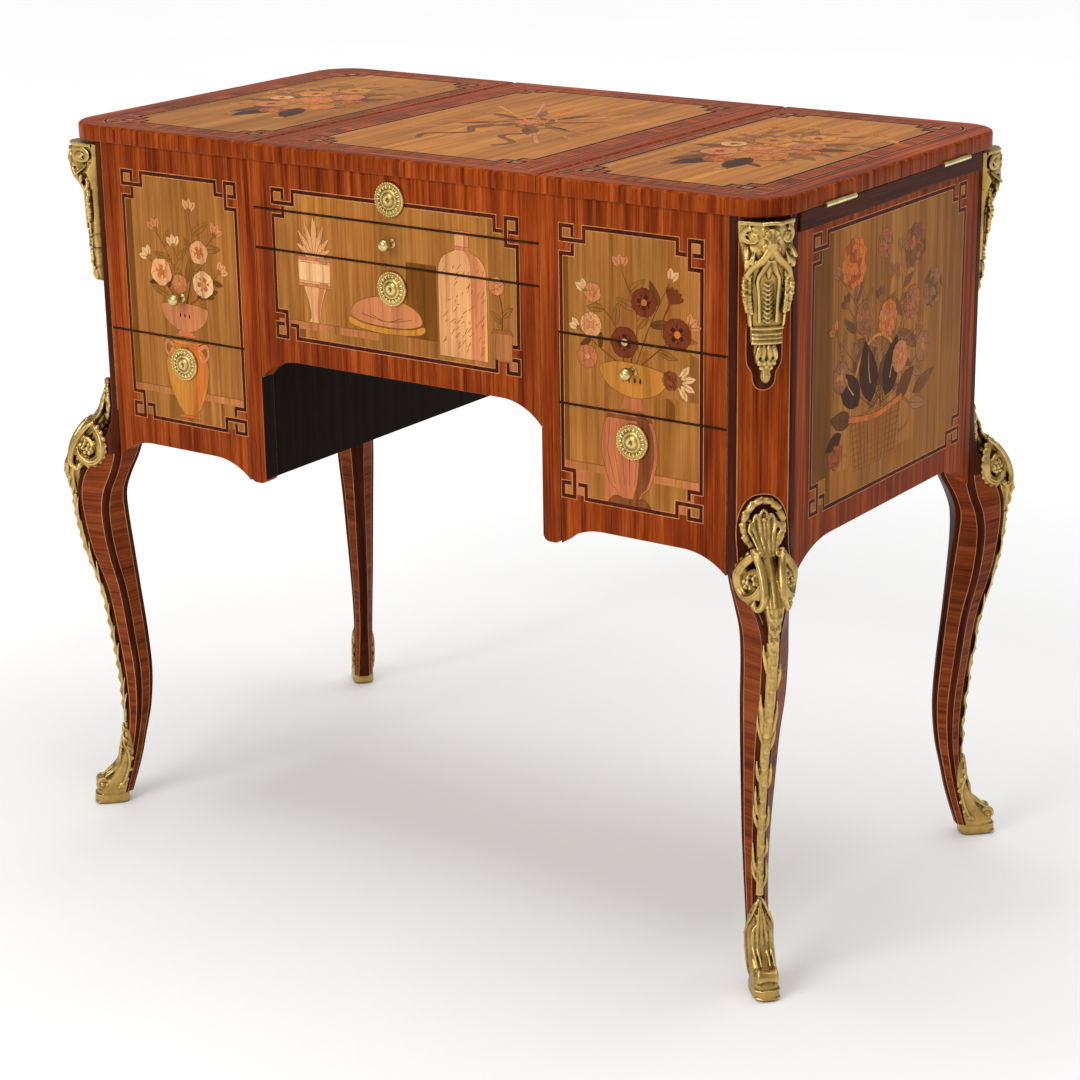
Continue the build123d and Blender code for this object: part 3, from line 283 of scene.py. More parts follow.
# rgb(60, 40, 30) is the arrises' paler tone: rubbed wear and a painted highlight.
WOODS["black"] = wood("ebonised", dict(EBONISED, grain="z", shift=6.0), 0.4, rgb(60, 40, 30), 0.0)
FRONT_BOARD = faced("tulipwood_front_oak_back", dict(TULIP, grain="z"), dict(OAK, grain="x"), 1,
                    -1.0, worn=ARRIS_WEAR_AND_HIGHLIGHT)
BACK_BOARD = faced("tulipwood_back_oak_front", dict(TULIP, grain="z"), dict(OAK, grain="x"), 1,
                   1.0, worn=ARRIS_WEAR_AND_HIGHLIGHT)
STILE_BOARD = faced("tulipwood_front_black_sides", dict(TULIP, grain="z", shift=0.8),
                    dict(EBONISED, grain="z"), 1, -1.0, worn=ARRIS_WEAR_AND_HIGHLIGHT)
RIGHT_BOARD = faced("tulipwood_right_oak_left", dict(TULIP, grain="z"), dict(OAK, grain="y"), 0,
                    1.0, worn=ARRIS_WEAR_AND_HIGHLIGHT)
LEFT_BOARD = faced("tulipwood_left_oak_right", dict(TULIP, grain="z"), dict(OAK, grain="y"), 0,
                   -1.0, worn=ARRIS_WEAR_AND_HIGHLIGHT)
TAN = dict(dark=rgb(134, 80, 30), mid=rgb(163, 104, 46), light=rgb(184, 126, 64), streak=1.0,
           pores=0.88)
TAN_TOP = dict(dark=rgb(142, 84, 30), mid=rgb(173, 109, 46), light=rgb(192, 132, 64), streak=1.0,
               pores=0.88)
TAN_KEYS = ("tan", "tan_b", "tan_c", "tan_d")
for KEY, SHADE in zip(TAN_KEYS, (1.0, 0.9, 1.06, 0.78)):
    for NAME_END, BASE, GRAIN in (("", TAN, "z"), ("_top", TAN_TOP, "y")):
        TONES = {k: tuple(v * SHADE for v in BASE[k][:3]) + (1.0,) for k in ("dark", "mid",
                                                                             "light")}
        WOODS[KEY + NAME_END] = wood("sycamore_" + KEY + NAME_END,
                                     {**BASE, **TONES, "grain": GRAIN, "shift": 7.0 + SHADE * 3})
TINTS = {
    "olive": (120, 72, 20), "leaf": (146, 94, 40), "leaf_dark": (104, 62, 26),
    "pale": (212, 152, 98), "pink": (196, 122, 78), "rose": (182, 104, 64), "red": (118, 54, 28),
    "orange": (198, 108, 46), "gold": (198, 130, 52), "honey": (180, 112, 64),
    "brown": (140, 78, 40), "dark": (70, 38, 18), "ink": (26, 15, 9), "ivory": (226, 176, 122),
    "dusky": (156, 104, 64), "dusky_dark": (128, 80, 48), "rust": (170, 84, 36),
    "amber": (160, 98, 34), }
for KEY, (RED, GREEN, BLUE) in TINTS.items():
    TONES = dict(dark=rgb(RED * 0.78, GREEN * 0.74, BLUE * 0.7), mid=rgb(RED, GREEN, BLUE),
                 light=rgb(min(RED * 1.1, 255), min(GREEN * 1.12, 255), min(BLUE * 1.15, 255)))
    WOODS[KEY] = wood("veneer_" + KEY, dict(TONES, grain="z", shift=RED * 0.1, streak=0.9,
                                            pores=0.85))


def bronze(name, deep, mid, bright, roughness):
    """Worn gilding: bright on what stands out, brown in the hollows."""
    made = Finish(name, roughness, metallic=1.0)
    shape = made.node("ShaderNodeNewGeometry").outputs["Pointiness"]
    hollow = made.node("ShaderNodeAmbientOcclusion", samples=6)
    hollow.inputs["Distance"].default_value = 0.006
    patch = made.noise(made.at(60.0), detail=4.0)
    spots = made.noise(made.at(420.0), detail=3.0)
    raised = made.ramp(shape, [(0.44, deep), (0.5, mid), (0.58, bright)])
    shaded = made.mix(hollow.outputs["AO"], deep, raised)
    tarnish = made.ramp(patch, [(0.35, (0.72, 0.7, 0.62, 1.0)), (0.6, WHITE)])
    fleck = made.ramp(spots, [(0.3, (0.7, 0.66, 0.55, 1.0)), (0.42, WHITE)])
    made.colour(made.mix(1.0, made.mix(1.0, shaded, tarnish, "MULTIPLY"), fleck, "MULTIPLY"))
    made.gloss(patch, roughness - 0.08, roughness + 0.14)
    made.bump(spots, 0.25, 0.0003)
    return made.mat


GILT = bronze("gilt_bronze", rgb(66, 46, 16), rgb(196, 160, 92), rgb(250, 222, 150), 0.32)
BRASS = bronze("brass", rgb(96, 78, 40), rgb(200, 176, 110), rgb(240, 224, 160), 0.24)
STEEL = bronze("steel", rgb(60, 60, 60), rgb(150, 150, 148), rgb(205, 205, 200), 0.3)


def mirror_finish():
    """Silvered glass with a few brown spots."""
    made = Finish("mirror_glass", 0.02, metallic=1.0)
    foxing = made.noise(made.at(26.0), detail=6.0, rough=0.7)
    made.colour(made.ramp(foxing, [(0.3, rgb(150, 140, 120)), (0.42, rgb(226, 228, 226))]))
    return made.mat


def leather_finish():
    """Worn brown leather with a fine grain."""
    made = Finish("leather", 0.5)
    cells = made.node("ShaderNodeTexVoronoi")
    cells.inputs["Scale"].default_value = 900.0
    made.link(made.place, cells.inputs["Vector"])
    worn = made.noise(made.at(18.0), detail=5.0)
    made.colour(made.ramp(worn, [(0.3, rgb(52, 22, 14)), (0.55, rgb(92, 42, 24)),
                                 (0.75, rgb(122, 66, 38))]))
    made.gloss(worn, 0.38, 0.6)
    made.bump(cells.outputs["Distance"], 0.35, 0.0002)
    return made.mat


MIRROR = mirror_finish()
LEATHER = leather_finish()
WOODS["gilding"] = GILT


# ---------------------------------------------------------------- meshes
def make_object(name, bm, materials, body, replaced=()):
    """An object from a mesh written in millimetres, riding on its body."""
    mesh = bpy.data.meshes.new(name)
    bmesh.ops.scale(bm, vec=(MM, MM, MM), verts=bm.verts)
    bm.to_mesh(mesh)
    bm.free()
    for material in materials:
        mesh.materials.append(material)
    made = bpy.data.objects.new(name, mesh)
    bpy.context.scene.collection.objects.link(made)
    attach(made, body)
    if replaced:
        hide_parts(*replaced)
    return made


def skin(bm, rings, caps=True):
    """Faces between rings of as many points each, and over the first and last."""
    sides = []
    for low, high in zip(rings, rings[1:]):
        for k in range(len(low)):
            m = (k + 1) % len(low)
            sides.append(bm.faces.new((low[k], low[m], high[m], high[k])))
    if caps:
        bm.faces.new(rings[0][::-1])
        bm.faces.new(rings[-1])
    return sides


# ---------------------------------------------------------------- flat shapes
def rect(x0, x1, y0, y1):
    """The corners of a box."""
    return [(x0, y0), (x1, y0), (x1, y1), (x0, y1)]


def turned(points, angle, x, y):
    """Points turned by an angle in degrees and moved to a place."""
    c = math.cos(math.radians(angle))
    s = math.sin(math.radians(angle))
    return [(x + (px * c - py * s), y + px * s + py * c) for px, py in points]


def band(points, half, end_half=None):
    """The outline of a strip along a line, mitred, of one width or narrowing to its end."""
    left, right = [], []
    for i, (x, y) in enumerate(points):
        near = points[max(i - 1, 0):i + 2]
        normals = []
        for a, b in zip(near, near[1:]):
            length = math.dist(a, b)
            normals.append(((a[1] - b[1]) / length, (b[0] - a[0]) / length))
        nx = sum(n[0] for n in normals)
        ny = sum(n[1] for n in normals)
        size = (nx * nx + ny * ny) / len(normals)
        wide = half if end_half is None else half + (end_half - half) * i / (len(points) - 1)
        left.append((x + nx / size * wide, y + ny / size * wide))
        right.append((x - nx / size * wide, y - ny / size * wide))
    return left + right[::-1]


def grown(points, amount):
    """An outline moved outwards by an amount."""
    area = sum(a[0] * b[1] - b[0] * a[1] for a, b in zip(points, points[1:] + points[:1]))
    side = -amount if area > 0 else amount
    count = len(points)
    out = []
    for i, (x, y) in enumerate(points):
        ax, ay = points[i - 1]
        bx, by = points[(i + 1) % count]
        length = math.hypot(bx - ax, by - ay) or 1.0
        out.append((x - (by - ay) / length * side, y + (bx - ax) / length * side))
    return out


def smooth_line(points, steps=6):
    """A curve through points, as more points."""
    out = []
    for i in range(len(points) - 1):
        p0 = points[max(i - 1, 0)]
        p1, p2 = points[i], points[i + 1]
        p3 = points[min(i + 2, len(points) - 1)]
        for k in range(steps):
            t = k / steps
            out.append(tuple(
                0.5 * (2 * b + (c - a) * t + (2 * a - 5 * b + 4 * c - d) * t * t
                       + (3 * b - a - 3 * c + d) * t ** 3)
                for a, b, c, d in zip(p0, p1, p2, p3)))
    out.append(tuple(points[-1]))
    return out


def smooth_ring(points, steps=4):
    """A closed curve through points."""
    count = len(points)
    ring = [points[-1]] + list(points) + [points[0], points[1 % count]]
    line = smooth_line(ring, steps)
    return line[steps:steps * (count + 1)]


def leaf_shape(length, width, bend=0.0, blunt=0.8, count=9):
    """A pointed leaf that starts at the origin and grows along x."""
    upper, lower = [], []
    for i in range(count + 1):
        t = i / count
        half = width / 2 * math.sin(math.pi * t ** blunt) ** 0.9
        middle = bend * length * math.sin(math.pi * t / 2) ** 2
        upper.append((length * t, middle + half))
        lower.append((length * t, middle - half))
    return upper + lower[-2:0:-1]


def petal_shape(length, width, notch=0.0):
    """A petal, narrow at the origin and round at its end."""
    pairs = ((0.0, 0.1), (0.25, 0.28), (0.55, 0.46), (0.8, 0.48), (0.95, 0.3))
    upper = [(length * t, width * h) for t, h in pairs]
    return upper + [(length * (1.0 - notch), 0.0)] + [(x, -y) for x, y in upper[::-1]]


def disc_shape(rx, ry, count=14):
    """A disc or an oval about the origin."""
    turns = [2 * math.pi * i / count for i in range(count)]
    return [(rx * math.cos(a), ry * math.sin(a)) for a in turns]


# A plate's foot goes PLATE_FOOT into its board. Plates of one level differ by STAGGER, so that
# no two tops lie in one plane. One that passes a limit by less than SLIVER is left out.
PLATE_FOOT = 0.05
STAGGER = 0.001
SLIVER = 0.05
SAME_PLACE = 1e-5


class Panel:
    """Veneers laid on one face: outlines in the face's own plane, each with a level."""

    def __init__(self, levels):
        self.shapes = []
        self.levels = levels

    def lay(self, points, key, level):
        """A veneer of one wood."""
        self.shapes.append((points, key, level))

    def cut(self, points, key, level, line=0.35):
        """A shape with the dark line of the saw round it."""
        self.lay(grown(points, line), "dark", level)
        self.lay(points, key, level + 1)

    def leaf(self, x, y, angle, length, width, key, level=1, bend=0.0, vein=True):
        """A leaf from its foot, with a dark vein."""
        self.cut(turned(leaf_shape(length, width, bend), angle, x, y), key, level)
        if vein:
            middle = [(length * t, bend * length * math.sin(math.pi * t / 2) ** 2)
                      for t in (0.05, 0.3, 0.6, 0.85)]
            self.lay(band(turned(middle, angle, x, y), 0.28, end_half=0.1), "dark", level + 2)

    def stem(self, points, half=0.6, key="leaf_dark", level=1):
        """A stalk that narrows to its end."""
        self.lay(band(smooth_line(points), half, end_half=half * 0.6), key, level)

    def flower(self, x, y, radius, petals, key, heart, angle=0.0, level=2, shade="rose", wide=1.15):
        """A single flower: petals shaded at their base round a heart."""
        wide *= 2 * radius * math.sin(math.pi / petals)
        for i in range(petals):
            turn = angle + 360 * i / petals
            self.cut(turned(petal_shape(radius, wide, 0.06), turn, x, y), key, level + (i % 2) * 2)
            inner = petal_shape(radius * 0.55, wide * 0.34)
            self.lay(turned(inner, turn, x, y), shade, level + (i % 2) * 2 + 2)
        self.cut(turned(disc_shape(radius * 0.24, radius * 0.24, 9), angle, x, y), heart,
                 level + 5, 0.25)

    def full_flower(self, x, y, radius, key, inner, angle=0.0, level=2):
        """A double flower: rings of notched petals one over another, each with a crease."""
        for ring, (share, petals) in enumerate(((1.0, 9), (0.74, 7), (0.48, 5))):
            wide = 2.3 * radius * share * math.sin(math.pi / petals)
            for i in range(petals):
                turn = angle + 23 * ring + 360 * i / petals
                tone = key if (i + ring) % 3 else inner
                self.cut(turned(petal_shape(radius * share, wide, 0.14), turn, x, y), tone,
                         level + 3 * ring + i % 2, 0.28)
                crease = turned([(radius * share * 0.5, 0), (radius * share * 0.82, 0)], turn, x, y)
                self.lay(band(crease, 0.22), "dark", level + 3 * ring + 2 + i % 2)

    def bud(self, x, y, angle, length, width, key, level=2):
        """A closed bud in its cup, with a crease."""
        self.cut(turned(petal_shape(length, width * 1.3, -0.12), angle, x, y), key, level, 0.25)
        self.lay(band(turned([(length * 0.4, 0), (length * 0.9, 0)], angle, x, y), 0.2), "dark",
                 level + 2)
        cup = turned(leaf_shape(length * 0.45, width * 0.9, 0.0, 0.5), angle, x, y)
        self.lay(cup, "leaf", level + 3)

    def fret(self, x0, x1, y0, y1, module=4.25, dark="fret", half=1.8, fillet=0.7, level=1):
        """A key-cornered frame inside four limits, dark between two pale fillets."""
        def place(corner, col, row):
            right, top = corner
            x = x1 - col * module if right else x0 + col * module
            y = y1 - row * module if top else y0 + row * module
            return (x, y)
        spiral = [(3.5, 2.6), (3.5, 0.5), (0.5, 0.5), (0.5, 3.5), (6.5, 3.5), (6.5, 0.5)]
        hook = [(3.5, 4.45), (3.5, 6.5), (0.5, 6.5)]
        swap = [[(b, a) for a, b in line] for line in (spiral, hook)]
        corners = ((False, True), (True, True), (True, False), (False, False))
        for i, start in enumerate(corners):
            end = corners[(i + 1) % 4]
            level_band = i % 2 == 0
            parts = []
            for corner in (start, end):
                kind = corner in ((False, True), (True, False))
                if level_band:
                    line = spiral if kind else swap[1]
                else:
                    line = hook if kind else swap[0]
                parts.append([place(corner, *p) for p in line])
            path = parts[0] + parts[1][::-1]
            self.lay(band(path, half + fillet), "box", level)
            self.lay(band(path, half), dark, level + 1)
        for corner in corners:
            a = place(corner, 1.0, 1.0)
            b = place(corner, 3.0, 3.0)
            self.lay(rect(a[0], b[0], a[1], b[1]), "tan", 0)

    def ground(self, x0, x1, y0, y1, joints, keys, module=4.25, level=0):
        """The field inside a fret, in strips between joints, stepped at its corners."""
        m = module
        edges = [x0 + m, *joints, x1 - m]
        def reach(x):
            """How far the corner steps come in from the top and bottom at x."""
            inset = min(x - x0, x1 - x)
            steps = ((4 * m, 7 * m), (7 * m, 4 * m))
            return next((tall for wide, tall in steps if inset < wide - 0.001), m)
        stops = sorted(set(edges + [x0 + 4 * m, x0 + 7 * m, x1 - 4 * m, x1 - 7 * m]))
        for a, b in zip(stops, stops[1:]):
            middle = (a + b) / 2
            strip = max(i for i, e in enumerate(edges[:-1]) if e <= middle)
            inset = reach(middle)
            self.lay(rect(a, b, y0 + inset, y1 - inset), keys[strip % len(keys)], level)

    def build(self, name, place, body, limits=None, bends=(), slot="tulipwood"):
        """One object from the shapes that lie between two limits of y."""
        low, high = limits or (-1e9, 1e9)
        bm = bmesh.new()
        keys = []
        for points, key, level in self.shapes:
            ys = [p[1] for p in points]
            if max(ys) <= low + SLIVER or min(ys) >= high - SLIVER:
                continue
            if key not in keys:
                keys.append(key)
            height = self.levels[min(level, len(self.levels) - 1)]
            height += len(bm.verts) % 17 * STAGGER
            self.add_plate(bm, points, keys.index(key), height, low, high, bends)
        bm.verts.ensure_lookup_table()
        for v in bm.verts:
            v.co = Vector(place(v.co.x, v.co.y, v.co.z))
        bmesh.ops.recalc_face_normals(bm, faces=bm.faces)
        return make_object(name, bm, [WOODS[k] for k in keys], body)

    def add_plate(self, bm, points, index, height, low, high, bends):
        """One veneer as a thin plate, cut at the limits and divided at the bends."""
        piece = bmesh.new()
        bottom = [piece.verts.new((x, y, -PLATE_FOOT)) for x, y in points]
        try:
            face = piece.faces.new(bottom)
        except ValueError:
            piece.free()
            return
        face.normal_update()
        bmesh.ops.triangulate(piece, faces=[face], ngon_method="EAR_CLIP")
        grown_faces = bmesh.ops.extrude_face_region(piece, geom=list(piece.faces),
                                                    use_keep_orig=True)
        top = [g for g in grown_faces["geom"] if isinstance(g, bmesh.types.BMVert)]
        for v in top:
            v.co.z = height
        ys = [p[1] for p in points]
        cuts = [(low, True)] if min(ys) < low else []
        cuts += [(high, False)] if max(ys) > high else []
        for y, keep_above in cuts:
            geometry = list(piece.verts) + list(piece.edges) + list(piece.faces)
            done = bmesh.ops.bisect_plane(piece, geom=geometry, dist=SAME_PLACE, plane_co=(0, y, 0),
                                          plane_no=(0, 1, 0), clear_outer=not keep_above,
                                          clear_inner=keep_above)
            edges = [g for g in done["geom_cut"] if isinstance(g, bmesh.types.BMEdge)]
            bmesh.ops.holes_fill(piece, edges=edges, sides=0)
        for y in bends:
            if min(ys) < y < max(ys) and low < y < high:
                geometry = list(piece.verts) + list(piece.edges) + list(piece.faces)
                bmesh.ops.bisect_plane(piece, geom=geometry, dist=SAME_PLACE, plane_co=(0, y, 0),
                                       plane_no=(0, 1, 0))
        bmesh.ops.recalc_face_normals(piece, faces=piece.faces)
        for face in piece.faces:
            face.material_index = index
        spare = bpy.data.meshes.new("spare")
        piece.to_mesh(spare)
        piece.free()
        bm.from_mesh(spare)
        bpy.data.meshes.remove(spare)


# Where a panel's two directions and its rise lie in space, for each face that has veneers.
def front_place(x, z, rise):
    return (x, FRONT_Y - rise, z)


def back_place(x, z, rise):
    return (x, BACK_Y + rise, z)


def right_place(y, z, rise):
    return (SIDE_X + rise, y, z)


def left_place(y, z, rise):
    return (-SIDE_X - rise, y, z)


def top_place(x, y, rise):
    return (x, y, FLAP_GROUND + rise)


# How far each level of veneer stands out of the front's and the flaps' faces.
FRONT_LEVELS = [0.06 + 0.022 * i for i in range(24)]
TOP_LEVELS = [0.05 + 0.018 * i for i in range(24)]


# ---------------------------------------------------------------- corner posts and legs
# Height, then distances out from the post's canted face of the inner face, the side
# arris and the outer face, then the widths of outer face, arrises and inner face.
RING_STEP = 4.0
FOOT_Z = 12.0
LEG_TOP_Z = 455.0
POST_TOP_Z = 732.6
# The woods change at these heights, from the post's to the leg's.
KNEE_TOP_Z = 420
KNEE_MID_Z = 404
KNEE_LOW_Z = 376
POST_SECTION = (-32.8, -5.66, 0.0, 50.9, 62.2, 8.0)
LEG_SECTIONS = [
    (POST_TOP_Z, *POST_SECTION),
    (470.0, *POST_SECTION),
    (LEG_TOP_Z, *POST_SECTION),
    (432.0, -32.8, -5.66, 4.0, 50.9, 62.2, 8.0),
    (412.0, -30.5, -4.5, 14.0, 50.9, 62.2, 12.0),
    (396.0, -25.0, -2.0, 27.0, 40.0, 58.0, 20.0),
    (380.0, -17.0, 3.0, 37.0, 26.0, 52.0, 27.0),
    (360.0, -10.5, 11.0, 41.5, 15.0, 46.5, 24.0),
    (335.0, -10.5, 14.0, 40.5, 12.0, 45.0, 16.0),
    (294.0, -14.0, 10.0, 33.5, 11.0, 43.5, 9.0),
    (250.0, -18.0, 1.0, 20.5, 10.5, 38.0, 6.0),
    (195.0, -23.0, -5.0, 12.0, 10.0, 32.4, 6.0),
    (150.0, -25.0, -9.0, 7.0, 9.5, 27.9, 6.0),
    (110.0, -21.5, -8.0, 5.0, 9.5, 24.4, 6.0),
    (80.0, -15.0, -4.0, 6.5, 10.0, 22.9, 6.0),
    (50.0, -8.0, 2.0, 11.5, 12.0, 22.4, 8.0),
    (FOOT_Z, 4.0, 12.0, 20.0, 14.0, 22.4, 10.0),
]


def section_at(z):
    """The leg's section at a height, on smooth curves through the given ones."""
    rows = LEG_SECTIONS
    if z >= LEG_TOP_Z:
        return POST_SECTION
    i = next(k for k in range(len(rows) - 1) if rows[k][0] >= z >= rows[k + 1][0])
    r0, r1, r2 = rows[max(i - 1, 0)], rows[i], rows[i + 1]
    r3 = rows[min(i + 2, len(rows) - 1)]
    step = r2[0] - r1[0]
    t = (z - r1[0]) / step
    out = []
    for k in range(1, 7):
        slope1 = (r2[k] - r0[k]) / (r2[0] - r0[0]) * step
        slope2 = (r3[k] - r1[k]) / (r3[0] - r1[0]) * step
        out.append((2 * t ** 3 - 3 * t * t + 1) * r1[k] + (t ** 3 - 2 * t * t + t) * slope1
                   + (3 * t * t - 2 * t ** 3) * r2[k] + (t ** 3 - t * t) * slope2)
    return out


def outer_at(z):
    """How far out the outer face lies at a height."""
    return section_at(z)[2]


def corner_point(s, t, z, corner):
    """A point across, out from and up a canted face, at one of the four corners."""
    right, front = corner
    x = CORNER_X + (s + t) * ROOT_HALF
    y = CORNER_Y + (s - t) * ROOT_HALF
    return Vector((x * right, y * front, z))


def leg_ring(z):
    """Points round the leg at a height, and the wood of the strip after each."""
    inner, arris, outer, outer_w, arris_w, inner_w = section_at(z)
    on_leg = z < LEG_TOP_Z - 1
    corners = [(outer, -outer_w / 2), (outer, outer_w / 2), (arris, arris_w / 2),
               (inner, inner_w / 2), (inner, -inner_w / 2), (arris, -arris_w / 2)]
    ring = []
    for i, a in enumerate(corners):
        b = corners[(i + 1) % 6]
        length = math.dist(a, b)
        ease = min(0.6, length * 0.1)
        border = min(4.6, length * 0.2)
        string = min(0.8, length * 0.06)
        panel = "leg" if on_leg else "tulip_z"
        pale = "box" if on_leg else panel
        edge = "amaranth"
        if i == 0:
            border = 1.6
            pale = "box"
            panel = "tulip_z" if z > KNEE_TOP_Z else "amaranth"
            if z < KNEE_LOW_Z:
                pale = panel
        elif not on_leg:
            panel = pale = edge = "amaranth" if i in (1, 5) else "oak_x"
        elif i in (1, 5) and z > KNEE_MID_Z:
            panel = pale = "amaranth"
        elif i == 3:
            panel = pale = "amaranth"
        stops = [(ease, edge), (border, pale), (border + string, panel), (length * 0.5, panel),
                 (length - border - string, pale), (length - border, edge), (length - ease, edge)]
        for place, wood_key in stops:
            share = place / length
            ring.append((a[0] + (b[0] - a[0]) * share, a[1] + (b[1] - a[1]) * share, wood_key))
    return ring


def make_leg(name, corner):
    """A post and its leg in one piece, with another wood in each strip round it."""
    heights = [FOOT_Z + RING_STEP * i for i in range(111)] + [LEG_TOP_Z - 1, LEG_TOP_Z + 1, 540.0,
                                                              620.0, POST_TOP_Z]
    bm = bmesh.new()
    keys = ["leg", "tulip_z", "amaranth", "box", "oak_x"]
    rings = []
    woods = []
    for z in heights:
        ring = leg_ring(z)
        rings.append([bm.verts.new(corner_point(s, t, z, corner)) for t, s, _ in ring])
        woods.append([key for _, _, key in ring])
    sides = skin(bm, rings, caps=False)
    for face, key in zip(sides, [key for ring in woods[1:] for key in ring]):
        face.material_index = keys.index(key)
        face.smooth = True
    bm.faces.new(rings[0])
    bm.faces.new(rings[-1])
    bmesh.ops.recalc_face_normals(bm, faces=bm.faces)
    made = make_object("post_and_leg_" + name, bm, [WOODS[k] for k in keys], "base",
                       ["leg_" + name])
    made.data.set_sharp_from_angle(angle=math.radians(32))


# ---------------------------------------------------------------- gilt bronze
class Cast:
    """Rods, beads and slabs that are melted into one casting. Places are across (s),
    out (t) and up (z) at a corner, in millimetres."""

    def __init__(self):
        self.bm = bmesh.new()
        self.side = 1

    def put(self, place):
        """A place, mirrored across the corner where side is -1."""
        return Vector((self.side * place[0], place[1], place[2]))

    def rod(self, path, radii, flat=1.0, out=(0, 1, 0), sides=8):
        """A rod along a path, its radius spread over the path from the ones given."""
        points = [self.put(p) for p in path]
        count = len(points)
        if isinstance(radii, (int, float)):
            radii = [radii] * count
        elif len(radii) != count:
            ends = list(radii)
            radii = []
            for i in range(count):
                u = i / (count - 1) * (len(ends) - 1)
                k = min(int(u), len(ends) - 2)
                radii.append(ends[k] + (ends[k + 1] - ends[k]) * (u - k))
        rings = []
        for i, p in enumerate(points):
            along = (points[min(i + 1, count - 1)] - points[max(i - 1, 0)]).normalized()
            side = self.put(out).cross(along)
            if side.length < 0.05:
                side = Vector((1, 0, 0)).cross(along)
            side.normalize()
            up = along.cross(side)
            rings.append([self.bm.verts.new(
                p + side * radii[i] * math.cos(a) + up * radii[i] * flat * math.sin(a))
                for a in (2 * math.pi * k / sides for k in range(sides))])
        skin(self.bm, rings)

    def bead(self, place, sizes, turn=0.0, tilt=0.0):
        """An egg-shaped bead, turned in the face's plane and tilted off it."""
        matrix = (Matrix.Translation(self.put(place)) @ Matrix.Rotation(math.radians(turn), 4, "Y")
                  @ Matrix.Rotation(math.radians(tilt), 4, "X") @ Matrix.Diagonal((*sizes, 1.0)))
        bmesh.ops.create_icosphere(self.bm, subdivisions=2, radius=1.0, matrix=matrix)

    def loft(self, rows, back, sides=14, rounding=0.45):
        """A body with a rounded front: rows of height, half width and front."""
        rings = []
        for z, half, front in rows:
            ring = []
            for k in range(sides + 1):
                u = -1 + 2 * k / sides
                bulge = front - (front - back) * rounding * u ** 4
                ring.append(self.bm.verts.new((half * u, bulge, z)))
            ring.append(self.bm.verts.new((half, back, z)))
            ring.append(self.bm.verts.new((-half, back, z)))
            rings.append(ring)
        skin(self.bm, rings)

    def melt(self, voxel, smooth=2):
        """One mesh from all of them, without inner faces."""
        bmesh.ops.recalc_face_normals(self.bm, faces=self.bm.faces)
        mesh = bpy.data.meshes.new("cast")
        self.bm.to_mesh(mesh)
        self.bm.free()
        holder = bpy.data.objects.new("cast", mesh)
        bpy.context.scene.collection.objects.link(holder)
        remesh = holder.modifiers.new("remesh", "REMESH")
        remesh.mode = "VOXEL"
        remesh.voxel_size = voxel
        relax = holder.modifiers.new("relax", "SMOOTH")
        relax.factor = 0.5
        relax.iterations = smooth
        bpy.context.view_layer.update()
        graph = bpy.context.evaluated_depsgraph_get()
        made = bpy.data.meshes.new_from_object(holder.evaluated_get(graph))
        bpy.data.objects.remove(holder)
        return made


# The chute's head starts at HEAD_Z and stands out by HEAD_OUT. The open flap's rim reaches
# down to RIM_LOW_Z, and stays clear of what lies within RIM_REACH, eased over RIM_EASE.
HEAD_Z = 700
HEAD_OUT = 23.5
RIM_LOW_Z = 712.5
RIM_REACH = 31.2
RIM_EASE = 2.8


def clear_of_flap(place):
    """Presses a chute's head back by its thickness, out of the way of the open flap's rim."""
    s, t, z = place
    fade = min(max((z - HEAD_Z) / 10, 0), 1)
    t -= max(0.0, abs(s) + HEAD_OUT - RIM_REACH) * fade * min(max(t / HEAD_OUT, 0), 1)
    over = abs(s) + t - RIM_REACH - 3.0 * max(0.0, RIM_LOW_Z - z)
    if over > 0:
        t -= over - RIM_EASE * (1 - math.exp(-over / RIM_EASE))
    return s, t, z


def cast_at_corners(cast, name, node, voxel=0.8, shape=tuple):
    """The casting at the four corners, mirrored as pairs."""
    mesh = cast.melt(voxel)
    for corner_name, corner in CORNERS.items():
        bm = bmesh.new()
        bm.from_mesh(mesh)
        for v in bm.verts:
            v.co = corner_point(*shape(v.co), corner)
        for face in bm.faces:
            face.smooth = True
        if corner[0] * corner[1] > 0:
            bmesh.ops.reverse_faces(bm, faces=bm.faces)
        make_object(name + "_" + corner_name, bm, [GILT], "base", [node])
    bpy.data.meshes.remove(mesh)


def spiral(centre, start_radius, end_radius, start, sweep, count=22):
    """Points of a scroll in a plane, from its outside in."""
    out = []
    for i in range(count + 1):
        u = i / count
        r = start_radius + (end_radius - start_radius) * u ** 0.8
        a = math.radians(start + sweep * u)
        out.append((centre[0] + r * math.cos(a), centre[1] + r * math.sin(a)))
    return out


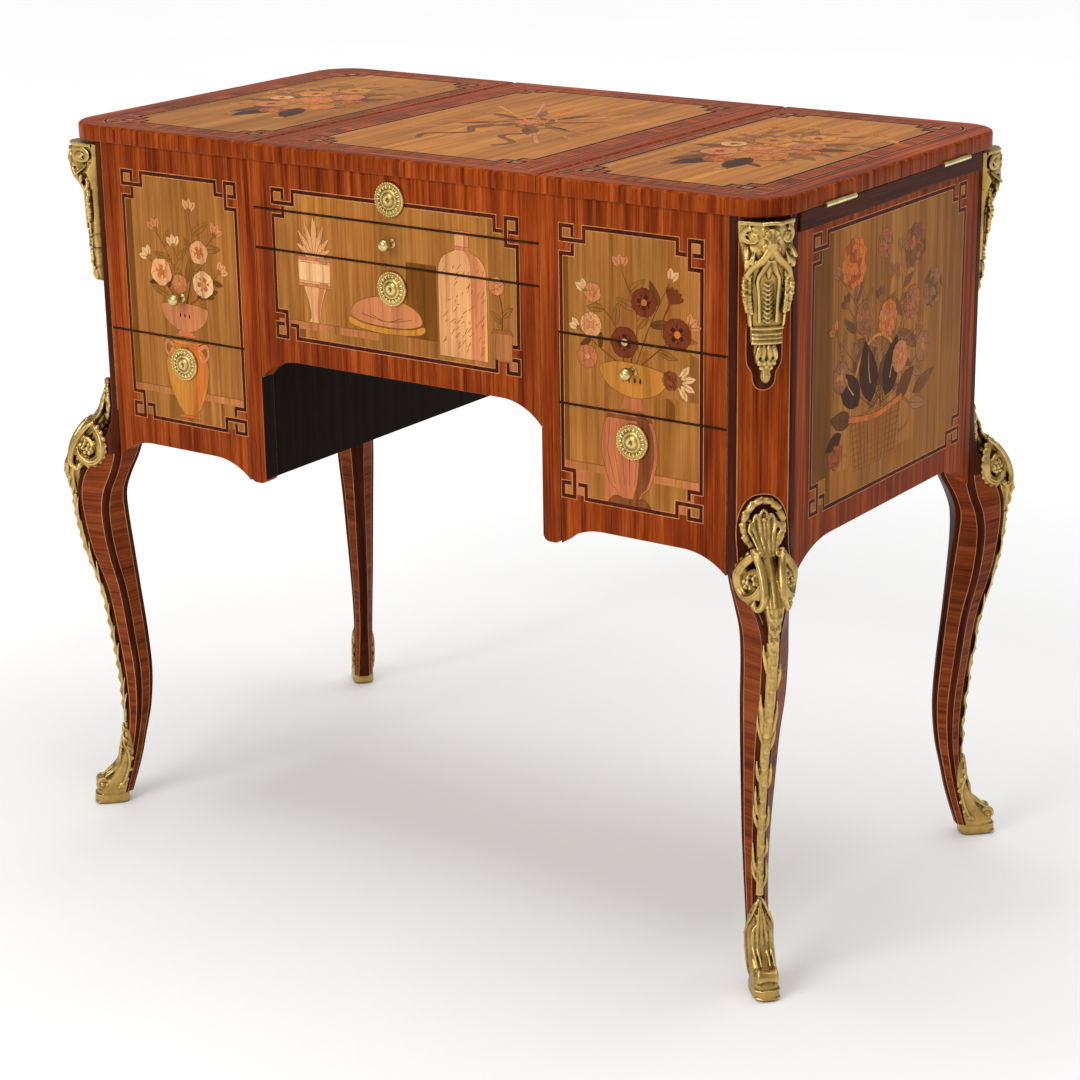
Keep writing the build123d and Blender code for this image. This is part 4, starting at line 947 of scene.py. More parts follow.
def make_chutes():
    """The corner chutes: a scrolled head over a panel of husks with swags, and a drop below."""
    cast = Cast()
    cast.loft([(583, 1.5, 3), (588, 4.5, 6.5), (598, 5.5, 8), (602, 8.5, 8), (612, 10.5, 9.5),
               (620, 10, 9), (621, 13.4, 10.5), (634, 14, 11), (637, 15.8, 10.5), (650, 17, 10.5),
               (672, 18.5, 11), (690, 20, 13), (698, 21.5, 18), (706, 23, 22), (714, 24.2, 23.5),
               (722, 24.6, 23.5), (729.4, 25, 22)], -1.0)
    for cast.side in (-1, 1):
        cast.rod([(0, 23.5, 729), (25, 20.5, 727.5)], 1.9)
        cast.rod([(0, 23.5, 724.5), (22, 20.5, 722.5)], 1.2)
        scroll = spiral((16.5, 716.5), 7.6, 1.8, 90, -430)
        cast.rod([(s, 24.3 - 0.05 * abs(s), z) for s, z in scroll], (2.3, 2.0, 1.3), 0.9)
        cast.bead((16.5, 25.0, 716.5), (1.9, 1.6, 1.9))
        for s, z, turn, size in ((20.5, 704.0, 18, 6.5), (15.5, 699.0, 26, 7.0),
                                 (20.0, 694.5, 10, 5.5), (9.5, 697.0, 22, 8.0),
                                 (5.0, 709.5, 35, 6.0)):
            cast.bead((s, 22.5 - 0.16 * (712 - z) * 2.2, z), (2.9, 2.6, size), -cast.side * turn, 8)
            fall = 0.35 * (712 - z)
            cast.rod([(s - 1.5, 25.5 - fall, z + size * 0.7),
                      (s + 1.0, 24.5 - fall, z - size * 0.8)],
                     (0.8, 0.5))
        curl = smooth_line([(2, 24, 706), (8, 22, 697), (15, 17, 690),
                            (19, 14, 683), (16, 13, 678)])
        cast.rod(curl, (3.4, 3.6, 2.6, 1.2), 0.7)
        spray = smooth_line([(1.5, 22, 698), (6, 15, 686), (9.5, 13, 678),
                             (8.5, 13, 664), (7.5, 12.5, 640)])
        cast.rod(spray, (3.2, 2.6, 1.7, 1.5, 1.4), 0.9)
        drops = random.Random(11)
        for i in range(15):
            z = 692 - i * 2.95
            bulge = math.sin(math.pi * i / 14)
            place = (18.2 + 3.0 * bulge + drops.uniform(-0.5, 0.5), 9.5 + drops.uniform(0, 2.0), z)
            cast.bead(place, (2.0 + 1.0 * bulge, 2.4 + bulge, 2.2), drops.uniform(-30, 30))
            cast.bead((14.6 + 2.0 * bulge, 11.2 + drops.uniform(-0.3, 1.0), z - 1.4),
                      (1.9 + 0.5 * bulge, 1.8, 2.1), drops.uniform(-30, 30))
        cast.rod([(15.4, 9.8, 648), (14.6, 9.8, 637)], (1.5, 1.2))
    for i in range(9):
        z = 673 - i * 4.1
        for cast.side in (-1, 1):
            cast.rod([(4.6, 11.0, z + 2.4), (0, 12.6, z - 0.6)], (0.9, 1.25), 0.9)
    cast.rod([(0, 24.5, 722), (0, 26, 712), (0, 22.5, 702), (0, 16.5, 690), (0, 13, 679)],
             (2.5, 4.2, 4.8, 3.6, 1.4), 0.5)
    cast.rod([(0, 25.2, 722), (0, 27.2, 712), (0, 23.8, 702), (0, 17.8, 690), (0, 14, 680)],
             (0.9, 1.1, 0.9, 0.6), 1.0)
    for turn, length in ((-52, 9), (-26, 11), (0, 12), (26, 11), (52, 9)):
        a = math.radians(turn)
        cast.rod([(math.sin(a) * 2, 24.6, 713 + math.cos(a) * 2),
                  (math.sin(a) * length, 25.2, 713 + math.cos(a) * length)], (1.0, 2.2), 0.8)
    for z, half, r in ((634.5, 14.6, 1.7), (629.6, 13.4, 1.3), (625.6, 13.2, 1.3),
                       (621.6, 13.6, 1.8)):
        cast.rod([(-half, 8.6, z), (-half * 0.6, 10.8, z), (half * 0.6, 10.8, z), (half, 8.6, z)],
                 r)
    for s, turn in ((-7.4, 12), (-2.6, 4), (2.6, -4), (7.4, -12)):
        cast.bead((s, 9.2, 612.5), (2.7, 2.6, 7.6), turn)
        cast.bead((s * 0.85, 9.6, 603.4), (2.4, 2.0, 3.0), turn * 2)
    for s, z, r in ((-4.4, 598.6, 2.3), (4.4, 598.6, 2.3), (0, 600, 2.6)):
        cast.bead((s, 8.0, z), (r, 2.2, r))
    cast.bead((0, 5.6, 591.5), (5.2, 4.4, 8.0))
    for s in (-2.4, 0, 2.4):
        cast.rod([(s, 9.0, 597), (s * 1.2, 9.8, 591), (s * 0.4, 6.4, 584.6)], (0.7, 0.9, 0.4))
    cast_at_corners(cast, "chute", "corner_chutes", shape=clear_of_flap)


def on_knee(s, z, rise):
    """A point above the leg's outer face at a height."""
    slope = (outer_at(z + 1) - outer_at(z - 1)) / 2
    size = math.hypot(1, slope)
    fall = max(0.0, abs(s) - 15) ** 2 * 0.02
    return (s, outer_at(z) + rise / size - fall, z - rise * slope / size)


def around(u, z, rise):
    """A point above the leg, measured round its section from the outer face's middle."""
    _, arris, outer, outer_w, arris_w, _ = section_at(z)
    half = outer_w / 2
    side = 1 if u >= 0 else -1
    u = abs(u)
    run = math.hypot(arris_w / 2 - half, outer - arris)
    across_s, across_t = (outer - arris) / run, (arris_w / 2 - half) / run
    if u <= half:
        s, t = u, outer
    else:
        s = half + (u - half) * across_t
        t = outer - (u - half) * across_s
    turn = min(max((u - half + 5) / 10, 0.0), 1.0)
    turn = turn * turn * (3 - 2 * turn)
    ns, nt = across_s * turn, 1 - turn + across_t * turn
    size = math.hypot(ns, nt)
    return (side * (s + ns / size * rise), t + nt / size * rise, z)


# The height of the ring's middle, the volutes' eye as how far out and how high, and how far
# the mount's body stands out at each height.
RING_Z = 453
VOLUTE_EYE = (29, 408.5)
KNEE_FRONT = [(480.0, 3.0), (462.0, 6.0), (445.0, 12.0), (429.0, 25.0), (412.0, 40.0),
              (395.0, 51.0), (382.0, 54.0), (368.0, 51.0), (350.0, 46.5)]


def front_at(z):
    """How far the knee mount stands out at a height, at its middle."""
    for (z1, t1), (z0, t0) in zip(KNEE_FRONT, KNEE_FRONT[1:]):
        if z >= z0:
            return t0 + (t1 - t0) * (z - z0) / (z1 - z0)
    return KNEE_FRONT[-1][1]


def beside(t, z, rise):
    """How far across the volute lies: on the mount's body, then on the leg's side."""
    _, arris, outer, outer_w, arris_w, _ = section_at(z)
    if t >= outer:
        return max(outer_w / 2 - (t - outer) * 0.75, 8.0) + rise
    return outer_w / 2 + (outer - t) * (arris_w - outer_w) / 2 / (outer - arris) + rise


def make_knees():
    """A ring of husks and a shell over two volutes, with a leaf down the middle."""
    cast = Cast()
    ring = [on_knee(16.6 * math.sin(a), RING_Z + 22.6 * math.cos(a), 1.0)
            for a in (math.pi * i / 16 for i in range(33))]
    cast.rod(ring, 3.4, 0.8)
    for i in range(13):
        a = 2 * math.pi * (i + 0.5) / 13
        low = 1.15 - 0.2 * math.cos(a)
        place = on_knee(17.0 * math.sin(a), RING_Z + 22.8 * math.cos(a), 3.0)
        turn = math.degrees(math.atan2(-22.8 * math.sin(a), 17.0 * math.cos(a)))
        cast.bead(place, (6.2 * low, 3.4, 3.9 * low), -turn)
        for shift, out in ((0.16, 19.4), (-0.14, 15.2)):
            cast.bead(on_knee(out * math.sin(a + shift),
                              RING_Z + (out + 5.4) * math.cos(a + shift), 2.8),
                      (2.4 * low, 2.4, 2.2 * low))
    body = ((456, 3.0), (448, 5.6), (438, 7.2), (428, 7.4), (418, 7.2), (408, 7.6), (398, 8.0),
            (388, 7.8), (378, 6.6), (368, 5.2), (358, 4.6), (350, 3.6))
    for depth in (1.0, 8.0, 16.0, 24.0):
        cast.rod([(0, max(outer_at(z) - 2.0, front_at(z) - r - depth), z) for z, r in body],
                 [r for _, r in body])
    cast.rod([(0, front_at(z) - 2.0, z) for z in (464, 458, 450, 442, 434, 426)],
             (7, 13, 14, 12, 9.5, 6), 0.22)
    for s, top, half in ((0.0, 467.5, 3.8), (6.9, 463.5, 3.0), (-6.9, 463.5, 3.0),
                         (12.2, 456.5, 2.5), (-12.2, 456.5, 2.5)):
        arch = [(s * 0.42 - half * 0.45, 430), (s * 0.8 - half * 0.9, 446),
                (s * 0.97 - half, top - 6), (s, top), (s * 1.03 + half, top - 6),
                (s * 0.84 + half * 0.9, 446), (s * 0.42 + half * 0.45, 430)]
        line = smooth_line(arch, 4)
        cast.rod([(u, front_at(z) + 0.6, z) for u, z in line], (0.9, 1.5, 1.7, 1.5, 0.9))
    cast.bead((0, front_at(460) + 2.2, 459.5), (1.8, 1.6, 2.2))
    cast.rod([(0, front_at(z) + 1.2, z) for z in (457, 450, 442)], (1.0, 0.8, 0.4))
    for shift in (-4.4, -2.2, 0.0, 2.2, 4.4):
        flare = ((446, 1.1), (436, 1.0), (426, 0.95), (414, 1.15), (402, 1.45), (390, 1.45),
                 (380, 1.15), (372, 0.8))
        cast.rod([(shift * w, front_at(z) - 0.6 - abs(shift) * 0.5, z) for z, w in flare],
                 (0.6, 1.4, 1.8, 2.1, 2.2, 1.8, 0.6))
    for z, r in ((384, 5.8), (372, 4.8), (360, 4.2)):
        for cast.side in (-1, 1):
            cast.rod([(0, front_at(z - 10) - 0.6, z - 10), (r * 0.7, front_at(z - 3) - 1.2, z - 3),
                      (r * 1.2, front_at(z) - 3.6, z + 4)], (1.3, 2.2, 0.6), 0.7)
    for cast.side in (-1, 1):
        volute = smooth_line([(28, 434), (21, 430), (15.5, 421), (14, 410), (17, 399.5),
                              (25.5, 393.5), (34, 396.5), (38.5, 405), (36.5, 414), (30, 418),
                              (24, 414), (23.5, 406.5), (28, 402.5)], 4)
        count = len(volute)
        path = [(beside(t, z, -0.6 + 3.4 * max(0.0, i / count - 0.4)), t, z)
                for i, (t, z) in enumerate(volute)]
        cast.rod(path, (2.4, 5.2, 6.0, 5.6, 5.0, 4.2, 3.6, 3.0, 2.6), 0.8, out=(1, 0.6, 0))
        for t, z in ((21, 410), (28, 404), (28, 413), (34, 408)):
            cast.bead((beside(t, z, -2.6), t, z), (4.6, 6.0, 7.0))
        for k in range(6):
            a = 2 * math.pi * k / 6
            t, z = VOLUTE_EYE[0] + 4.6 * math.cos(a), VOLUTE_EYE[1] + 4.8 * math.sin(a)
            cast.bead((beside(t, z, 3.4), t, z), (2.2, 2.5, 2.5))
        cast.bead((beside(*VOLUTE_EYE, 5.0), *VOLUTE_EYE), (2.4, 2.4, 2.4))
        for k in range(12):
            i = 3 + k * 2
            (t0, z0), (t, z), (t1, z1) = volute[i - 1], volute[i], volute[i + 1]
            length = math.dist((t0, z0), (t1, z1))
            t, z = t - (z0 - z1) / length * 3.8, z - (t1 - t0) / length * 3.8
            cast.bead((beside(t, z, 0.4), t, z), (2.4, 2.8, 2.8))
        for shift, radius in ((1.4, 0.9), (-1.6, 0.8)):
            line = [(beside(t, z, 3.6 + 1.2 * i / count), t + shift * 0.3, z + shift)
                    for i, (t, z) in enumerate(volute[4:30])]
            cast.rod(line, (0.5, radius, radius, 0.5), out=(1, 0.6, 0))
        hook = smooth_line([(14.5, 20, 436), (11.5, 28, 430), (9.4, 36.5, 420), (8.6, 43.0, 408),
                            (9.0, 46.0, 397), (11.2, 45.0, 389.5), (14.2, 41.0, 386.5),
                            (16.4, 37.0, 389.5)], 3)
        cast.rod(hook, (1.8, 3.8, 4.2, 4.0, 3.5, 3.0, 2.8), 0.9)
        cast.rod([(s + 1.8, t + 2.8, z + 0.6) for s, t, z in hook[2:17]], (0.6, 1.0, 0.9, 0.6))
        cast.bead((16.2, 37.4, 390), (3.3, 3.3, 3.3))
    cast_at_corners(cast, "knee_mount", "knee_mounts")


def make_leg_mounts():
    """A stem of husks down each leg's arris, with pointed leaves growing up from it."""
    cast = Cast()
    cast.rod([around(0, z, 1.6) for z in range(356, 88, -8)], (5.8, 5.2, 4.7, 4.2, 3.8, 3.6), 0.7)
    z = 354.0
    i = 0
    while z > 112:
        size = 0.78 + 0.22 * (z - 100) / 254
        lean = 0.7 if i % 2 else -0.7
        cast.rod([around(lean * 0.4, z, 3.2), around(lean, z - 8 * size, 4.6),
                  around(lean, z - 19 * size, 2.6)],
                 (1.4, 3.4 * size, 1.4), 0.7)
        z -= (13 if z > 310 else 19) * size
        i += 1
    for low, side, length, spread in (
            (320, -1, 34, 8.0), (304, 1, 30, 7.4), (268, -1, 30, 7.4), (254, -1, 50, 8.4),
            (248, -1, 34, 9.4), (252, 1, 44, 7.6), (240, 1, 30, 8.0), (208, -1, 24, 6.6),
            (200, 1, 30, 6.2), (172, -1, 34, 6.6), (160, -1, 26, 7.4), (156, 1, 30, 6.0),
            (130, 1, 22, 5.6), (114, -1, 32, 6.8), (106, -1, 22, 7.2), (98, 1, 30, 6.0)):
        size = 0.7 + 0.3 * (low - 90) / 240
        path = [around(side * 1.5, low, 1.6), around(side * 4.4, low + length * 0.3, 2.6),
                around(side * spread * 0.84, low + length * 0.7, 2.4),
                around(side * spread, low + length, 0.9)]
        cast.rod(smooth_line(path, 3), (1.5, 2.1 * size, 1.8 * size, 0.5), 0.8)
    cast_at_corners(cast, "leg_mount", "leg_mounts", 0.7)


# The middle of the scroll at the toe: how far out it lies, and its height.
TOE = (37.0, 22.5)


def make_sabots():
    """Leaf-shaped shoes: a scroll at the toe over a block, a leaf up the arris."""
    cast = Cast()
    rows = ((0.2, 9.0, 45.0, 11.8), (2.5, 8.4, 46.0, 12.6), (9.5, 8.4, 45.6, 12.8),
            (12, 8.8, 43.0, 12.2), (14, 8.8, 42.6, 12.4), (20, 7.0, 40.0, 12.4),
            (27, 6.0, 32.5, 12.5), (36, 5.0, 25.0, 12.6), (50, 1.5, 17.0, 12.6),
            (60, -0.5, 12.8, 12.2), (68, 0.0, 11.4, 11.0), (76, 1.0, 10.6, 8.4),
            (84, 2.0, 9.8, 5.0), (91, 3.0, 8.6, 1.8))
    rings = []
    for z, inner, outer, half in rows:
        mid, depth = (inner + outer) / 2, (outer - inner) / 2
        ring = []
        for k in range(32):
            a = 2 * math.pi * k / 32
            c, s = math.cos(a), math.sin(a)
            narrow = 1 - 0.3 * max(0.0, c) ** 2
            ring.append(cast.bm.verts.new((half * narrow * math.copysign(abs(s) ** 0.5, s),
                                           mid + depth * math.copysign(abs(c) ** 0.5, c), z)))
        rings.append(ring)
    skin(cast.bm, rings)
    for cast.side in (-1, 1):
        edge = [(1.5, 10.2, 90), (6.2, 11.2, 79), (10.4, 10.4, 69), (12.4, 7.0, 60),
                (12.8, 6.0, 48), (12.8, 9.5, 35), (12.6, 14, 25), (12.4, 20, 18.5)]
        cast.rod(smooth_line(edge), (1.2, 1.7, 1.7, 1.4), 0.9)
        for i in range(7):
            s, t, z = smooth_line(edge, 3)[2 + i * 3]
            cast.bead((s, t - 1.8, z + 1.0), (1.5, 3.2, 2.6), 0, 30)
        roll = spiral(TOE, 7.0, 1.4, 150, -470, 30)
        path = [((8.0 + 1.4 * i / 30), t, z) for i, (t, z) in enumerate(roll)]
        cast.rod(path, (2.4, 2.2, 1.9, 1.4), 0.9, out=(1, 0, 0))
        cast.bead((10.0, *TOE), (1.6, 2.2, 2.2))
        for reach, top, radius in ((4.2, 80, 1.8), (8.4, 66, 1.7)):
            rib = [(reach * 0.4, outer_at(top) + 4.6, top), (reach, outer_at(56) + 4.8, 58),
                   (reach * 1.02, outer_at(44) + 5.6, 44), (reach, 33.6, 31)]
            cast.rod(smooth_line(rib), (0.7, radius, radius * 1.2, 0.9))
    cast.rod([(s, *TOE) for s in (-9.0, -8.0, -4, 0, 4, 8, 9.0)],
             (4.0, 7.2, 6.4, 5.8, 6.4, 7.2, 4.0), out=(0, 0, 1), sides=18)
    cast.rod([(0, outer_at(z) + 4.6 + (56 - z) * 0.03, z) for z in (88, 80, 72, 64, 56, 48, 40,
                                                                    34)],
             (0.8, 1.9, 1.6, 2.2, 1.8, 2.5, 2.0, 1.6))
    for i, z in enumerate((70, 59, 48, 38)):
        for cast.side in (-1, 1):
            cast.rod([(0, outer_at(z) + 4.6, z - 5), ((3.2 + i * 0.5), outer_at(z) + 4.4, z),
                      ((5.6 + i * 0.8), outer_at(z) + 3.2, z + 5)], (1.0, 1.5, 0.5))
    for z, half, out in ((3.0, 11.6, 45.4), (10.8, 11.6, 44.6)):
        bend = ((1, 12), (1, 4), (0.55, 0.2))
        line = [(-half * s, out - t, z) for s, t in bend] + [(half * s, out - t, z) for s,
                                                             t in bend[::-1]]
        cast.rod(line, 0.9)
    cast_at_corners(cast, "sabot", "sabots", 0.7)


def lathe(bm, profile, place, steps, caps=False):
    """A turned shape about an axis along Y: pairs of radius and distance forward."""
    x, y, z = place
    turns = [2 * math.pi * k / steps for k in range(steps)]
    rings = [[bm.verts.new((x + radius * math.cos(a), y - forward, z + radius * math.sin(a)))
              for a in turns]
             for radius, forward in profile]
    for face in skin(bm, rings, caps):
        face.smooth = True


def make_rosette(name, node, body, x, z):
    """A round keyhole plate with a ring of leaves, a beaded ring and a boss."""
    bm = bmesh.new()
    profile = [(0.05, 3.6), (1.4, 3.6), (1.8, 4.9), (3.0, 5.4), (4.6, 5.3), (5.8, 4.6), (6.6, 3.9),
               (7.4, 3.8), (8.4, 4.1), (9.4, 3.8), (10.0, 3.1), (11.0, 2.9), (13.4, 3.2),
               (14.8, 2.8), (15.6, 3.0), (16.4, 2.7), (16.9, 1.6), (17.0, 0.0), (0.05, 0.0)]
    lathe(bm, profile, (x, FRONT_Y, z), 64)
    bmesh.ops.remove_doubles(bm, verts=bm.verts, dist=0.001)
    def stud(radius, count, sizes, forward, twist=0.0):
        """A ring of beads round the plate."""
        for i in range(count):
            a = 2 * math.pi * (i + twist) / count
            matrix = (Matrix.Translation((x + radius * math.cos(a), FRONT_Y - forward,
                                          z + radius * math.sin(a)))
                      @ Matrix.Rotation(-a, 4, "Y") @ Matrix.Diagonal((*sizes, 1.0)))
            bmesh.ops.create_icosphere(bm, subdivisions=2, radius=1.0, matrix=matrix)
    stud(12.2, 18, (2.3, 1.1, 1.2), 2.9)
    stud(12.6, 18, (1.2, 1.0, 0.7), 3.0, 0.5)
    stud(15.9, 32, (0.9, 1.0, 1.05), 2.6)
    stud(8.4, 24, (0.6, 0.6, 0.75), 3.9)
    bmesh.ops.recalc_face_normals(bm, faces=bm.faces)
    for face in bm.faces:
        face.smooth = True
    make_object(name, bm, [GILT], body, [node])


def make_knob(name, node, body, x, z):
    """A turned knob on its stem."""
    bm = bmesh.new()
    profile = [(0.01, -11.8), (2.1, -11.8), (2.1, -0.1), (4.9, 0.0), (5.0, 0.6), (4.3, 1.3),
               (3.6, 1.7), (2.6, 2.8), (2.3, 4.2), (2.5, 5.2), (3.4, 5.8), (3.5, 6.3), (3.0, 6.8),
               (4.0, 7.6), (5.3, 8.8), (6.1, 10.6), (6.15, 12.2), (5.6, 14.2), (4.4, 15.9),
               (2.6, 16.7), (1.2, 16.9), (0.01, 16.95)]
    lathe(bm, profile, (x, FRONT_Y, z), 40, caps=True)
    bmesh.ops.recalc_face_normals(bm, faces=bm.faces)
    make_object(name, bm, [BRASS], body, [node])


# ---------------------------------------------------------------- flaps
def rounded_box(x0, x1, y, rounded, radius, count):
    """A box centred on y = 0, with arcs at the corners of the sides named in rounded."""
    points = []
    for sx, sy in ((1, -1), (1, 1), (-1, 1), (-1, -1)):
        edge = x1 if sx > 0 else x0
        arc = [(edge, sy * y)]
        if sx in rounded:
            turns = [math.pi / 2 * k / count for k in range(count + 1)]
            arc = [(edge - sx * radius + sx * radius * math.sin(a),
                    sy * (y - radius) + sy * radius * math.cos(a)) for a in turns]
        points += arc[::-1] if sx * sy > 0 else arc
    return points


def flap_outline(x0, x1, rounded, inset):
    """A flap's outline: rounded at the table's outer corners, square at the joints."""
    return rounded_box(x0 + inset, x1 - inset, FLAP_Y - inset, rounded, FLAP_RADIUS - inset, 10)


def make_flap(name, node, body, x0, x1, rounded):
    """A flap's board with its moulded edge."""
    bm = bmesh.new()
    rings = []
    for inset, z in ((1.2, FLAP_LOW), (0.3, FLAP_LOW + 0.5), (0.0, FLAP_LOW + 1.4), (0.0, 746.0),
                     (0.25, 747.4), (0.9, 748.5), (1.8, 749.1), (2.8, 749.4), (3.8, FLAP_GROUND)):
        rings.append([bm.verts.new((x, y, z)) for x, y in flap_outline(x0, x1, rounded, inset)])
    for face in skin(bm, rings, caps=False):
        face.smooth = True
    bm.faces.new(rings[0][::-1]).material_index = 1
    bm.faces.new(rings[-1])
    bmesh.ops.recalc_face_normals(bm, faces=bm.faces)
    made = make_object(name, bm, [WOODS["tulip_z"], WOODS["tulip_y"]], body, [node])
    made.data.set_sharp_from_angle(angle=math.radians(42))


def top_panel(x0, x1, rounded, left_lines, right_lines, joints, keys):
    """The bands, lines, fret and field of one flap, each at its distance from the edges."""
    panel = Panel(TOP_LEVELS)
    line = flap_lines(x0, x1, rounded, left_lines[0], right_lines[0], 18.5)
    inside = (x0 + left_lines[1], x1 - right_lines[1], -FLAP_Y + 36.0, FLAP_Y - 36.0)
    edge = flap_lines(x0, x1, rounded, 2.4, 2.4, 2.4)
    count = len(line)
    for k in range(count):
        m = (k + 1) % count
        along_x = abs(edge[m][0] - edge[k][0]) > abs(edge[m][1] - edge[k][1])
        panel.lay([edge[k], edge[m], line[m], line[k]], "tulip_x" if along_x else "tulip_y", 0)
    box = rect(inside[0] - 1, inside[1] + 1, inside[2] - 1, inside[3] + 1)
    near = [min(range(count), key=lambda k: math.dist(line[k], c)) for c in box]
    for i in range(4):
        a, b = near[i], near[(i + 1) % 4]
        run = [line[(a + k) % count] for k in range((b - a) % count + 1)]
        panel.lay(run + [box[(i + 1) % 4], box[i]], "tulip_x" if i % 2 else "tulip_y", 0)
    for half, key, level in ((1.9, "box", 1), (1.35, "black", 2)):
        outside, within = offset_ring(line, half), offset_ring(line, -half)
        for k in range(count):
            m = (k + 1) % count
            panel.lay([outside[k], outside[m], within[m], within[k]], key, level)
    panel.ground(*inside, joints, keys)
    panel.fret(*inside, dark="black", half=2.0, fillet=0.6)
    return panel


def flap_lines(x0, x1, rounded, left, right, back):
    """A line inside a flap's edge, at its own distance from each side."""
    return rounded_box(x0 + left, x1 - right, FLAP_Y - back, rounded, FLAP_RADIUS - back * 0.75, 8)


def offset_ring(points, amount):
    """A closed line moved outwards by an amount, mitred."""
    count = len(points)
    out = []
    for i, (x, y) in enumerate(points):
        normals = []
        for a, b in ((points[i - 1], (x, y)), ((x, y), points[(i + 1) % count])):
            length = math.dist(a, b)
            normals.append(((b[1] - a[1]) / length, (a[0] - b[0]) / length))
        nx, ny = normals[0][0] + normals[1][0], normals[0][1] + normals[1][1]
        size = (nx * nx + ny * ny) / 2
        out.append((x + nx / size * amount, y + ny / size * amount))
    return out


def spray(panel, x, y, angle, length, key, buds=3, bud_key="pink", seed=0, level=1):
    """A curved stem with pairs of leaves and buds at its end."""
    pick = random.Random(seed)
    bend = pick.uniform(-0.16, 0.16)
    leaf = min(length * 0.29, 23.0)
    bloom = min(length * 0.22, 13.0)
    line = turned([(length * t, bend * length * math.sin(math.pi * t)) for t in (0, 0.3, 0.6,
                                                                                 1.0)], angle, x, y)
    panel.stem(line, 0.65, "leaf_dark", level)
    for i in range(2, 2 + buds):
        t = i / (buds + 2.2)
        px, py = turned([(length * t, bend * length * math.sin(math.pi * t))], angle, x, y)[0]
        side = 1 if i % 2 else -1
        panel.leaf(px, py, angle + side * pick.uniform(32, 55), leaf * pick.uniform(0.8, 1.2),
                   leaf * 0.36, key, level, side * 0.12)
    tip = line[-1]
    for i in range(buds):
        panel.bud(*tip, angle + (i - (buds - 1) / 2) * 34, bloom, bloom * 0.4, bud_key, level + 1)


def vase(panel, x, rows, key, shade, rim, level=2):
    """A turned vessel from pairs of height and half width, shaded down one side."""
    left = [(x - w, y) for y, w in rows]
    right = [(x + w, y) for y, w in rows]
    panel.cut(smooth_line(left, 4) + smooth_line(right, 4)[::-1], key, level)
    inner = [(x + w * 0.35, y) for y, w in rows]
    outer = [(x + w * 0.88, y) for y, w in rows]
    panel.lay(smooth_line(inner, 4) + smooth_line(outer, 4)[::-1], shade, level + 2)
    for y, w in rim:
        panel.cut([(x - w, y - 1.5), (x + w, y - 1.5), (x + w * 0.96, y + 1.5),
                   (x - w * 0.96, y + 1.5)],
                  shade, level + 3, 0.25)


def ledge(panel, x0, x1, y0, y1, key="honey"):
    """A table's edge under the vessels, its boards divided by thin lines."""
    panel.lay(rect(x0, x1, y0, y1), key, 1)
    panel.lay(rect(x0, x1, y1 - 0.5, y1), "leaf_dark", 2)
    count = max(2, int((x1 - x0) / 22))
    for i in range(1, count):
        x = x0 + (x1 - x0) * i / count
        panel.lay(rect(x - 0.2, x + 0.2, y0, y1), "leaf_dark", 2)


def left_pedestal():
    """A vase of flowers on a ledge, over the left pedestal's front and drawer."""
    panel = Panel(FRONT_LEVELS)
    x0, x1, y0, y1 = -345.5, -191.5, 449.5, 708.0
    panel.fret(x0, x1, y0, y1)
    panel.ground(x0, x1, y0, y1, (-332.5, -296.0, -262.0, -226.0),
                 ("olive", "tan", "tan_b", "tan", "tan_c"))
    ledge(panel, -341.0, -196.0, 479.5, 487.0)
    panel.lay(rect(-337, -200, 454, 479.5), "tan_d", 0)
    vase(panel, -268, ((457, 13), (462, 8), (470, 15), (492, 25), (514, 28), (528, 22), (535, 16),
                       (538, 21)),
         "gold", "orange", ((459, 14), (533, 18)))
    for side in (-1, 1):
        scroll = [(-268 + side * s, z) for s, z in ((15, 531), (26, 536), (29, 527), (22, 520),
                                                    (17, 525))]
        panel.cut(band(smooth_line(scroll), 2.4, end_half=1.2), "pink", 4)
    bowl = smooth_line([(-300, 574), (-296, 562), (-284, 552), (-268, 548), (-252, 552),
                        (-240, 562), (-236, 574)])
    panel.cut(bowl + [(-250, 577), (-268, 578), (-286, 577)], "pink", 4)
    panel.cut([(-281, 543), (-255, 543), (-259, 548.5), (-277, 548.5)], "rose", 4)
    for s in (-6, 0, 6):
        panel.lay(turned(disc_shape(0.9, 2.4), 8 * s / 6, -268 + s, 565), "ink", 8)
        panel.lay(band([(-268 + s * 3.2, 574), (-268 + s * 2.6, 552)], 0.25), "rose", 7)
    for i, (x, angle, length, key) in enumerate((
            (-272, 112, 78, "leaf"), (-266, 84, 96, "leaf"), (-270, 134, 60, "leaf_dark"),
            (-264, 62, 84, "leaf"), (-262, 42, 56, "leaf_dark"), (-270, 98, 58, "leaf"))):
        spray(panel, x, 576, angle, length, key, 3, ("pink", "pale", "ivory")[i % 3], i + 3)
    for flower in (
            (-297, 607, 14, 5, "pale", "orange", 20, 3),
            (-241, 600, 14, 6, "ivory", "gold", 5, 3),
            (-245, 632, 12, 5, "pale", "orange", 50, 3),
            (-273, 597, 10, 5, "pink", "gold", 80, 3)):
        panel.flower(*flower)
    for leaf in (
            (-288, 584, 160, 26, 9, "leaf", 2),
            (-250, 586, 18, 30, 9, "leaf_dark", 2),
            (-262, 600, 75, 30, 10, "leaf", 2)):
        panel.leaf(*leaf)
    return panel


